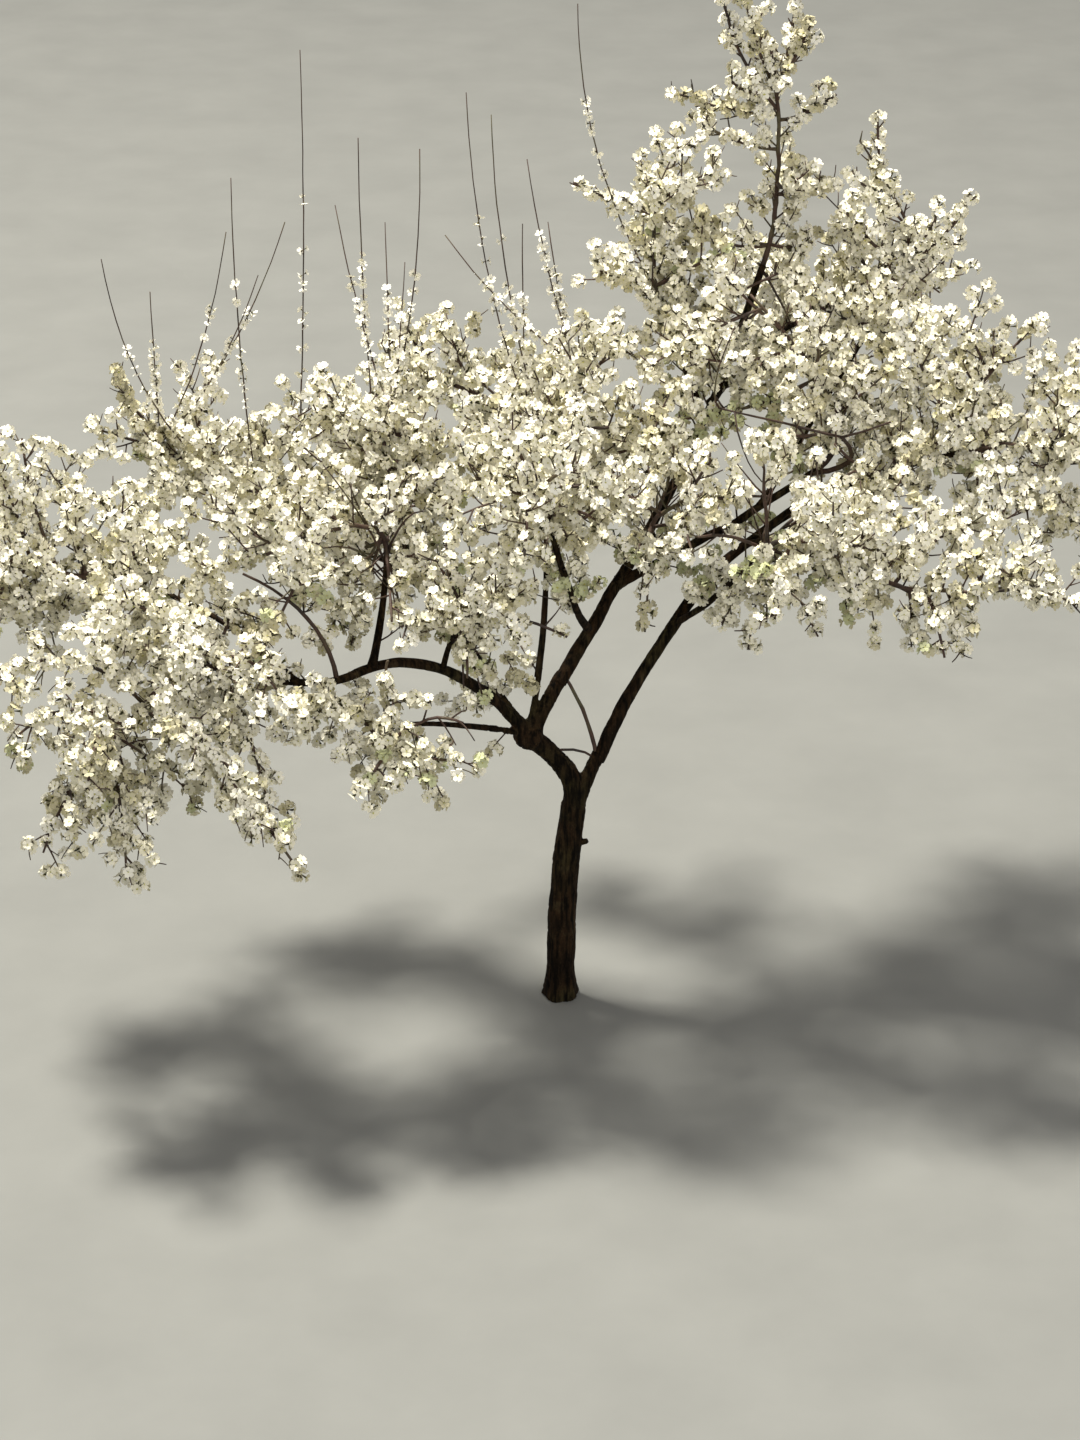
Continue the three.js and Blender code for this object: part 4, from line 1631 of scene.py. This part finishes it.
@dataclass
class Boughs:
    """All limbs and boughs above the fork, each with its bark's relief."""

    limbs: dict[str, GrownLimb]
    relief: BarkRelief = field(default_factory=BarkRelief)
    step: float = 7
    fewest_rings: int = 4
    stout: float = 28
    stout_sides: int = 20
    slender_sides: int = 14
    collar: float = 0.5
    collar_fall: float = 1.6
    overlap: float = 26
    crook: float = 0.34
    crook_length: float = 95
    crook_lanes: tuple[int, int, int] = (3, 5, 7)

    def build(self, finish: bpy.types.Material) -> bpy.types.Object:
        """The boughs joined into one piece.

        Args:
            finish: The bark.

        Returns:
            The finished piece.
        """
        joined = JoinedMesh()
        for name in self.names():
            joined.add(*self.bough(self.limbs[name], LIMBS[name]))
        return joined.piece("bark_boughs", [finish])

    def names(self) -> list[str]:
        """The nodes that the piece stands for."""
        return [name for name in LIMBS if name != "limb_left"]

    def bough(self, limb: GrownLimb, plan: LimbPlan) -> tuple[Vec, Vec]:
        """A limb with its relief, its slight crooks, and a collar where it leaves its carrier.

        Args:
            limb: The limb in its place.
            plan: Its plan.

        Returns:
            The corners and the triangles, from the root or from just inside the bark of the fork.
        """
        length, curve = limb.curve.length, limb.curve
        first = (TrunkAndFork.foot - self.overlap) / length if TrunkAndFork.rises_here(limb.name) else 0.0
        sides = self.stout_sides if plan.butt > self.stout else self.slender_sides
        rings = max(self.fewest_rings, math.ceil(length * (1 - first) / self.step)) + 1
        shares = np.linspace(first, 1, rings)
        radii = collared(limb, 0.0 if plan.at == 1 else self.collar, self.collar_fall)(shares)
        seed = sum(ord(letter) for letter in limb.name)
        angles, rims, along = even_turns(sides), radii[:, None], shares * length
        skin = np.broadcast_arrays(rims * np.cos(angles), rims * np.sin(angles), along[:, None])
        relief = self.relief.height(np.stack(skin, axis=-1).reshape(-1, 3), np.repeat(radii, sides), seed)
        crooks = np.empty((rings, 3))
        for axis, lane in enumerate(self.crook_lanes):
            path = np.stack([along / self.crook_length, np.full(rings, lane), 0 * along], axis=-1)
            crooks[:, axis] = lattice_noise(path, seed)
        wander = crooks * (radii * self.crook * np.sin(math.pi * shares))[:, None]
        return tube(curve, shares, rims + relief.reshape(rings, sides), sides, wander)


@dataclass
class CrownRegion:
    """The twigs and the blossom of the masses of one region.

    RING_STEPS and FINE_RING_STEP tell how far apart a twig's rings lie. Its knots and bends are noise, at
    KNOT_LENGTH along the twig.
    """

    RING_STEPS = {STEM: 24, SPRAY: 30, SHOOT: 60}
    FINE_RING_STEP = 45
    FEWEST_RINGS = 3
    SHOOT_WIDTH = 0.6
    KNOT_LENGTH = 40
    KNOT_PITCH = 1.7
    KNOTTED = 0.14
    KNOT_SEED = 9
    BEND_SEED = 8
    BEND_LANE = 11
    FINE_CROOK = 0.5

    region: Region
    twigs: list[Twig] = field(default_factory=list)
    flowers: Flowers = field(default_factory=Flowers)
    nodes: list[str] = field(default_factory=list)
    crook: float = 3.2
    first_seed: int = 100

    def twig_piece(self, finish: bpy.types.Material) -> bpy.types.Object:
        """All twigs of the region, joined.

        Args:
            finish: The bark of twigs.

        Returns:
            The finished piece.
        """
        joined = JoinedMesh()
        for number, twig in enumerate(self.twigs):
            joined.add(*self.twig_tube(twig, number))
        return joined.piece(f"twigs_{self.region.value}", [finish])

    def twig_tube(self, twig: Twig, number: int) -> tuple[Vec, Vec]:
        """One twig, a little crooked and knotted unless it is a fine one.

        Args:
            twig: The twig.
            number: Its number in the region, which makes its crooks its own.

        Returns:
            The corners and the triangles.
        """
        size, length = twig.size, twig.curve.length
        step = self.RING_STEPS.get(size, self.FINE_RING_STEP)
        shares = np.linspace(0, 1, max(self.FEWEST_RINGS, math.ceil(length / step)) + 1)
        radii = size.radius_at(shares) * (self.SHOOT_WIDTH if size is SHOOT else 1)
        steps = shares * length / self.KNOT_LENGTH
        along = np.stack([steps, np.full_like(steps, number), 0 * steps], axis=-1)
        knots = 1 + self.KNOTTED * lattice_noise(along * self.KNOT_PITCH, self.KNOT_SEED)
        lanes = [along + axis * self.BEND_LANE for axis in range(3)]
        bend = np.stack([lattice_noise(lane, self.BEND_SEED) for lane in lanes], axis=-1)
        crook = self.crook * (1 if size in (STEM, SPRAY) else self.FINE_CROOK)
        wander = bend * (crook * np.sin(math.pi * shares))[:, None]
        return tube(twig.curve, shares, (radii * knots)[:, None], size.sides, wander)

    def blossom_piece(self, finishes: list[bpy.types.Material]) -> bpy.types.Object:
        """All flowers of the region, joined.

        Args:
            finishes: The tints, then the heart and the stalk.

        Returns:
            The finished piece.
        """
        joined = JoinedMesh()
        FlowerForm().build(self.flowers, joined, self.first_seed + list(Region).index(self.region))
        return joined.piece(f"blossom_{self.region.value}", finishes)


# Finishes.


class Shade:
    """A socket whose value varies over a surface. Arithmetic on it adds Math nodes."""

    def __init__(self, graph: "FinishGraph", socket: bpy.types.NodeSocket) -> None:
        """Wraps an output socket of a graph."""
        self.graph = graph
        self.socket = socket

    def math(self, operation: str, first: Any, second: Any) -> "Shade":
        """A Math node on two values."""
        return self.graph.node("ShaderNodeMath", {"operation": operation}, {0: first, 1: second})

    def __add__(self, other: Any) -> "Shade":
        """Sum."""
        return self.math("ADD", self, other)

    def __radd__(self, other: Any) -> "Shade":
        """Sum, reflected."""
        return self.math("ADD", other, self)

    def __sub__(self, other: Any) -> "Shade":
        """Difference."""
        return self.math("SUBTRACT", self, other)

    def __rsub__(self, other: Any) -> "Shade":
        """Difference, reflected."""
        return self.math("SUBTRACT", other, self)

    def __mul__(self, other: Any) -> "Shade":
        """Product."""
        return self.math("MULTIPLY", self, other)

    def __rmul__(self, other: Any) -> "Shade":
        """Product, reflected."""
        return self.math("MULTIPLY", other, self)


class FinishGraph:
    """The node tree of one material."""

    def __init__(self, name: str) -> None:
        """Makes the material with its principled shader.

        Args:
            name: The material's name.
        """
        self.material = bpy.data.materials.new(name)
        self.material.use_nodes = True
        self.tree = self.material.node_tree
        self.shader = self.tree.nodes["Principled BSDF"]

    def node(self, kind: str, settings: dict[str, Any], sockets: dict[Any, Any], output: Any = 0) -> Shade:
        """Adds a node.

        Args:
            kind: The node's type.
            settings: Its settings, set first. "stops" gives a ramp's positions and colours.
            sockets: Values or links of its input sockets, by name or place.
            output: The output that is used.

        Returns:
            The output, as a shade.
        """
        made = self.tree.nodes.new(kind)
        for setting, value in settings.items():
            if setting == "stops":
                self.set_stops(made.color_ramp, value)
            else:
                setattr(made, setting, value)
        for socket, value in sockets.items():
            self.feed(made.inputs[socket], value)
        return Shade(self, made.outputs[output])

    def set_stops(self, ramp: bpy.types.ColorRamp, stops: Iterable[tuple[float, Colour]]) -> None:
        """Sets a ramp's stops.

        Args:
            ramp: The ramp of a node.
            stops: Positions with their colours.
        """
        stops = list(stops)
        while len(ramp.elements) < len(stops):
            ramp.elements.new(0.5)
        for element, (position, colour) in zip(ramp.elements, stops):
            element.position = position
            element.color = (*colour, 1.0)

    def feed(self, socket: bpy.types.NodeSocket, value: Any) -> None:
        """Links a shade to a socket, or sets the socket's own value.

        Args:
            socket: An input socket.
            value: A shade, a colour or a number.
        """
        if isinstance(value, Shade):
            self.tree.links.new(value.socket, socket)
        elif isinstance(value, tuple) and socket.type == "RGBA":
            socket.default_value = (*value, 1.0)
        else:
            socket.default_value = value

    def surface(self, **sockets: Any) -> None:
        """Feeds the principled shader, by socket names with _ for a space."""
        for name, value in sockets.items():
            self.feed(self.shader.inputs[name.replace("_", " ")], value)

    def place(self, stretch: Triple = (1, 1, 1)) -> Shade:
        """The place on the object in metres, squeezed by stretch."""
        spot = self.node("ShaderNodeTexCoord", {}, {}, "Object")
        return self.node("ShaderNodeMapping", {}, {"Vector": spot, "Scale": stretch})

    def noise(self, place: Shade, scale: float, detail: float = 3, roughness: float = 0.55) -> Shade:
        """Noise from 0 to 1."""
        sockets = {"Vector": place, "Scale": scale, "Detail": detail, "Roughness": roughness}
        return self.node("ShaderNodeTexNoise", {}, sockets)

    def ramp(self, factor: Shade, stops: Iterable[tuple[float, Colour]]) -> Shade:
        """A colour ramp."""
        return self.node("ShaderNodeValToRGB", {"stops": stops}, {0: factor})

    def mix(self, factor: Any, first: Any, second: Any) -> Shade:
        """A mix of two colours."""
        return self.node("ShaderNodeMix", {"data_type": "RGBA"}, {0: factor, 6: first, 7: second}, 2)

    def spread(self, factor: Shade, low: float, high: float, least: float = 0, most: float = 1) -> Shade:
        """A value taken from one range to another and kept in it."""
        sockets = {"Value": factor, "From Min": low, "From Max": high, "To Min": least, "To Max": most}
        return self.node("ShaderNodeMapRange", {}, sockets)

    def bump(self, height: Shade, strength: float, distance: float) -> Shade:
        """A bump from a height."""
        return self.node("ShaderNodeBump", {}, {"Height": height, "Strength": strength, "Distance": distance})


# The range that most of a noise's values lie in.
NOISE_RANGE = (0.3, 0.7)


@dataclass(frozen=True)
class BarkFinish:
    """Old, furrowed bark: dark brown, greyer and olive where weathered, with painted light and shade on its
    bump.

    Scales are cells of noise to a metre. A stretch below 1 draws the noise out along the trunk, and a passing
    is the range of a noise in which one colour gives way to another.
    """

    name: str = "plum_bark"
    # Near black: darker bark deep in the furrows, and painted shade there.
    furrow: Colour = (0.003, 0.002, 0.001)
    body: Colour = (0.011, 0.006, 0.0028)
    warm: Colour = (0.03, 0.0155, 0.0065)
    weathered: Colour = (0.078, 0.06, 0.03)
    olive: Colour = (0.036, 0.032, 0.011)
    patch_scale: float = 11
    patch_stops: Triple = (0.32, 0.55, 0.72)
    moss_scale: float = 5
    moss_passing: tuple[float, ...] = (0.5, 0.72)
    grain_scale: float = 80
    grain_stretch: Triple = (1, 1, 0.17)
    grain_passing: tuple[float, ...] = (0.4, 0.6)
    flake_scale: float = 320
    flake_stretch: Triple = (1, 1, 0.6)
    flake_passing: tuple[float, ...] = (0.55, 0.75, 0, 0.5)
    roughness: tuple[float, float] = (0.98, 0.78)
    sheen: float = 0.12
    grain_part: float = 0.7
    flake_part: float = 0.3
    bump_strength: float = 0.8
    bump_depth: float = 0.003

    def material(self) -> bpy.types.Material:
        """The material of the trunk and boughs.

        Returns:
            The finished material.
        """
        graph = FinishGraph(self.name)
        patches = graph.noise(graph.place(), self.patch_scale, 4)
        grain = graph.noise(graph.place(self.grain_stretch), self.grain_scale, 5, 0.62)
        flakes = graph.noise(graph.place(self.flake_stretch), self.flake_scale, 3)
        moss = graph.noise(graph.place(), self.moss_scale, 2)
        body = graph.ramp(patches, zip(self.patch_stops, (self.body, self.warm, self.weathered)))
        mossed = graph.mix(graph.spread(moss, *self.moss_passing), body, self.olive)
        # Greyer on the raised flakes: real weathering, and partly a painted highlight where the bump stands
        # out.
        weathered_and_painted_light = graph.mix(graph.spread(flakes, *self.flake_passing), mossed, self.weathered)
        height = grain * self.grain_part + flakes * self.flake_part
        graph.surface(
            # Near black where the grain sinks in the bump: darker bark in the furrows, and painted shade
            # there.
            Base_Color=graph.mix(graph.spread(grain, *self.grain_passing), self.furrow, weathered_and_painted_light),
            Roughness=graph.spread(grain, *NOISE_RANGE, *self.roughness),
            Specular_IOR_Level=self.sheen,
            Normal=graph.bump(height, self.bump_strength, self.bump_depth),
        )
        return graph.material


@dataclass(frozen=True)
class TwigFinish:
    """Young bark of twigs and shoots: dark red-brown with paler, olive lengths and dark rings."""

    name: str = "twig_bark"
    dark: Colour = (0.03, 0.02, 0.016)
    red: Colour = (0.075, 0.038, 0.026)
    olive: Colour = (0.1, 0.09, 0.045)
    length_scale: float = 9
    length_stops: Triple = (0.35, 0.52, 0.68)
    ring_scale: float = 260
    ring_stretch: Triple = (1, 1, 2.5)
    ring_passing: tuple[float, ...] = (0.45, 0.7, 0, 0.6)
    roughness: tuple[float, float] = (0.6, 0.8)
    bump_strength: float = 0.4
    bump_depth: float = 0.001

    def material(self) -> bpy.types.Material:
        """The material of the twigs.

        Returns:
            The finished material.
        """
        graph = FinishGraph(self.name)
        lengths = graph.noise(graph.place(), self.length_scale, 3)
        rings = graph.noise(graph.place(self.ring_stretch), self.ring_scale, 2)
        young = graph.ramp(lengths, zip(self.length_stops, (self.dark, self.red, self.olive)))
        graph.surface(
            Base_Color=graph.mix(graph.spread(rings, *self.ring_passing), young, self.dark),
            Roughness=graph.spread(rings, *NOISE_RANGE, *self.roughness),
            Normal=graph.bump(rings, self.bump_strength, self.bump_depth),
        )
        return graph.material


@dataclass(frozen=True)
class SoftFinish:
    """A soft part of a flower: two colours that pass into one another in fine veins or specks."""

    name: str
    first: Colour
    second: Colour
    scale: float = 240
    passing: tuple[float, ...] = (0.4, 0.75, 0, 0.7)
    roughness: tuple[float, float] = (0.55, 0.75)
    sheen: float = 0.3

    def material(self) -> bpy.types.Material:
        """The material of the petals of one tint, of the hearts or of the stalks.

        Returns:
            The finished material.
        """
        graph = FinishGraph(self.name)
        specks = graph.noise(graph.place(), self.scale, 2)
        graph.surface(
            Base_Color=graph.mix(graph.spread(specks, *self.passing), self.first, self.second),
            Roughness=graph.spread(specks, *NOISE_RANGE, *self.roughness),
            Specular_IOR_Level=self.sheen,
        )
        return graph.material


FLESH = {"passing": (0.35, 0.65), "roughness": (0.6, 0.85), "sheen": 0.5}
PETALS = {
    Tint.WHITE: SoftFinish("petal_white", (0.95, 0.925, 0.825), (0.91, 0.88, 0.745)),
    Tint.IVORY: SoftFinish("petal_ivory", (0.92, 0.89, 0.755), (0.87, 0.83, 0.645)),
    Tint.CREAM: SoftFinish("petal_cream", (0.86, 0.83, 0.69), (0.78, 0.74, 0.56)),
    # Painted shade: dull, dark petals for blossom in shade.
    Tint.SHADE_BUFF: SoftFinish("petal_painted_shade", (0.62, 0.58, 0.41), (0.5, 0.46, 0.29)),
    Tint.BUDDING: SoftFinish("petal_budding", (0.62, 0.64, 0.4), (0.48, 0.52, 0.26)),
}
HEART = SoftFinish("flower_heart", (0.62, 0.55, 0.16), (0.42, 0.46, 0.12), 300, **FLESH)
STALK = SoftFinish("flower_stalk", (0.06, 0.07, 0.018), (0.1, 0.07, 0.026), 120, **FLESH)


# The studio.


@dataclass(frozen=True)
class RoundLamp:
    """A soft round lamp in metres and watts, which looks at the crown."""

    name: str
    place: Triple
    size: float
    power: float
    colour: Colour
    aim: Triple = (0.0, 0.0, 1.5)

    def light(self) -> None:
        """Puts the lamp in the scene."""
        data = bpy.data.lights.new(self.name, "AREA")
        data.shape, data.size, data.energy, data.color = "DISK", self.size, self.power, self.colour
        lamp = placed(self.name, data)
        lamp.location = self.place
        east, north, up = vector(self.aim) - vector(self.place)
        tilt = math.atan2(math.hypot(east, north), -up)
        lamp.rotation_euler = (tilt, 0, math.atan2(north, east) - math.pi / 2)


@dataclass
class Studio:
    """A pale floor, soft lamps and the camera at the photograph's viewing angle. Lengths are in metres."""

    floor_side: float = 90
    floor_drop: float = 0.001
    floor_tones: tuple[Colour, Colour] = ((0.2, 0.203, 0.196), (0.222, 0.225, 0.217))
    floor_scale: float = 2.5
    floor_roughness: float = 0.95
    sky: Colour = (1.0, 0.98, 0.94)
    sky_strength: float = 0.44
    lamps: tuple[RoundLamp, ...] = (
        RoundLamp("key_lamp", (-6.6, 3.6, 22.5), 3.6, 10600, (1.0, 0.962, 0.85)),
        RoundLamp("fill_lamp", (2.5, -7.0, 5.0), 4.0, 180, (1.0, 0.97, 0.93)),
    )
    camera_pitch: float = 65
    lens: float = 94.5
    sensor: float = 36
    sight: float = 200

    def build(self) -> None:
        """Makes the floor, the light and the camera."""
        self.floor()
        self.light()
        self.camera()

    def floor(self) -> None:
        """A plain floor just under the trunk's cut."""
        half = self.floor_side / 2
        corners = [(-half, -half, 0), (half, -half, 0), (half, half, 0), (-half, half, 0)]
        mesh = bpy.data.meshes.new("studio_floor")
        mesh.from_pydata(corners, [], [(0, 1, 2, 3)])
        graph = FinishGraph("studio_floor")
        speckle = graph.noise(graph.place(), self.floor_scale, 4)
        graph.surface(
            Base_Color=graph.mix(graph.spread(speckle, *NOISE_RANGE), *self.floor_tones),
            Roughness=self.floor_roughness,
        )
        mesh.materials.append(graph.material)
        floor = placed("studio_floor", mesh)
        floor.location.z = -self.floor_drop

    def light(self) -> None:
        """An even sky, a high key lamp behind the crown's left, and a weak fill at the front."""
        world = bpy.data.worlds.new("studio_sky")
        world.use_nodes = True
        background = world.node_tree.nodes["Background"].inputs
        background["Color"].default_value = (*self.sky, 1.0)
        background["Strength"].default_value = self.sky_strength
        bpy.context.scene.world = world
        bpy.context.scene.view_settings.view_transform = "Standard"
        for lamp in self.lamps:
            lamp.light()

    def camera(self) -> None:
        """The camera at the photograph's viewing angle and framing."""
        data = bpy.data.cameras.new("photo_camera")
        data.sensor_fit, data.lens, data.clip_end = "VERTICAL", self.lens, self.sight
        data.sensor_height = data.sensor_width = self.sensor
        camera = placed("photo_camera", data)
        camera.location = EYE * MM
        camera.rotation_euler = (math.radians(self.camera_pitch), 0, 0)
        bpy.context.scene.camera = camera


@dataclass
class Crown:
    """The twigs and blossom of the whole crown, region by region."""

    limbs: dict[str, GrownLimb]
    first_seed: int = 11
    fine_seed_step: int = 1009
    spur_seed: int = 500
    bough_room: float = 36
    twig_room: float = 27

    def grow(self) -> list[CrownRegion]:
        """Grows every mass by the source's rule, its finer twigs and flowers, and the spurs on the boughs.

        Returns:
            The regions with their twigs and flowers.
        """
        taken = TakenSpace()
        for limb in self.limbs.values():
            taken.take(*balls_along(limb.curve, limb.radius_at))
        wood = TakenSpace()
        wood.take(taken.points, taken.radii)
        regions = {region: CrownRegion(region) for region in Region}
        view = self.front_view()
        rule = FlowerRule(view)
        for index, (name, plan) in enumerate(MASSES.items()):
            seed = self.first_seed + index
            skeleton = MassSkeleton(plan, self.limbs[plan.on].curve, taken, seed).grow()
            part = regions[plan.region]
            if plan.shown_stem:
                view.keep_open(skeleton[0].curve, 0, plan.shown_stem, self.twig_room)
            fine = FineGrowth(plan, wood, rule, Seeded(seed * self.fine_seed_step))
            part.twigs += fine.grow(skeleton, part.flowers)
            part.nodes.append(name)
        for index, name in enumerate(LIMBS):
            plan = self.nearest_mass(self.limbs[name].curve.tip)
            part = regions[plan.region]
            fine = FineGrowth(plan, wood, rule, Seeded(self.spur_seed + index))
            part.twigs += fine.spurs(self.limbs[name], part.flowers)
        regions[Region.CENTRE].twigs += [bare.twig() for bare in BARE_TWIGS]
        return list(regions.values())

    def front_view(self) -> FrontView:
        """The stretches of bough and the bare twigs that stay open to the front.

        Returns:
            The view, with these stretches kept open.
        """
        view = FrontView()
        for name, plan in LIMBS.items():
            for first, last in plan.shown:
                view.keep_open(self.limbs[name].curve, first, last, self.bough_room)
        for bare in BARE_TWIGS:
            view.keep_open(bare.twig().curve, 0, 1, self.twig_room)
        return view

    @staticmethod
    def nearest_mass(point: Vec) -> MassPlan:
        """The plan of the mass whose middle is nearest to a point."""
        return min(MASSES.values(), key=lambda plan: math.dist(plan.centre, point))


def dress(piece: bpy.types.Object, nodes: Iterable[str]) -> None:
    """Puts a piece in the frame and reports it.

    Args:
        piece: The finished piece.
        nodes: The CAD nodes that it stands for.
    """
    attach(piece, BODY)
    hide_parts(*nodes)
    LOG.info("%s: %d triangles", piece.name, len(piece.data.polygons))


def main() -> None:
    """Builds the studio, the bark, the twigs and the blossom."""
    logging.basicConfig(level=logging.INFO, format="%(message)s")
    Studio().build()
    limbs = LimbLayout().grow()
    bark = BarkFinish().material()
    dress(TrunkAndFork(limbs).build(bark), ("trunk", "limb_left", "knob"))
    boughs = Boughs(limbs)
    dress(boughs.build(bark), boughs.names())
    twig_bark = TwigFinish().material()
    finishes = [*(PETALS[tint].material() for tint in Tint), HEART.material(), STALK.material()]
    for part in Crown(limbs).grow():
        dress(part.twig_piece(twig_bark), part.nodes)
        dress(part.blossom_piece(finishes), part.nodes)


if __name__ == "__main__":
    main()
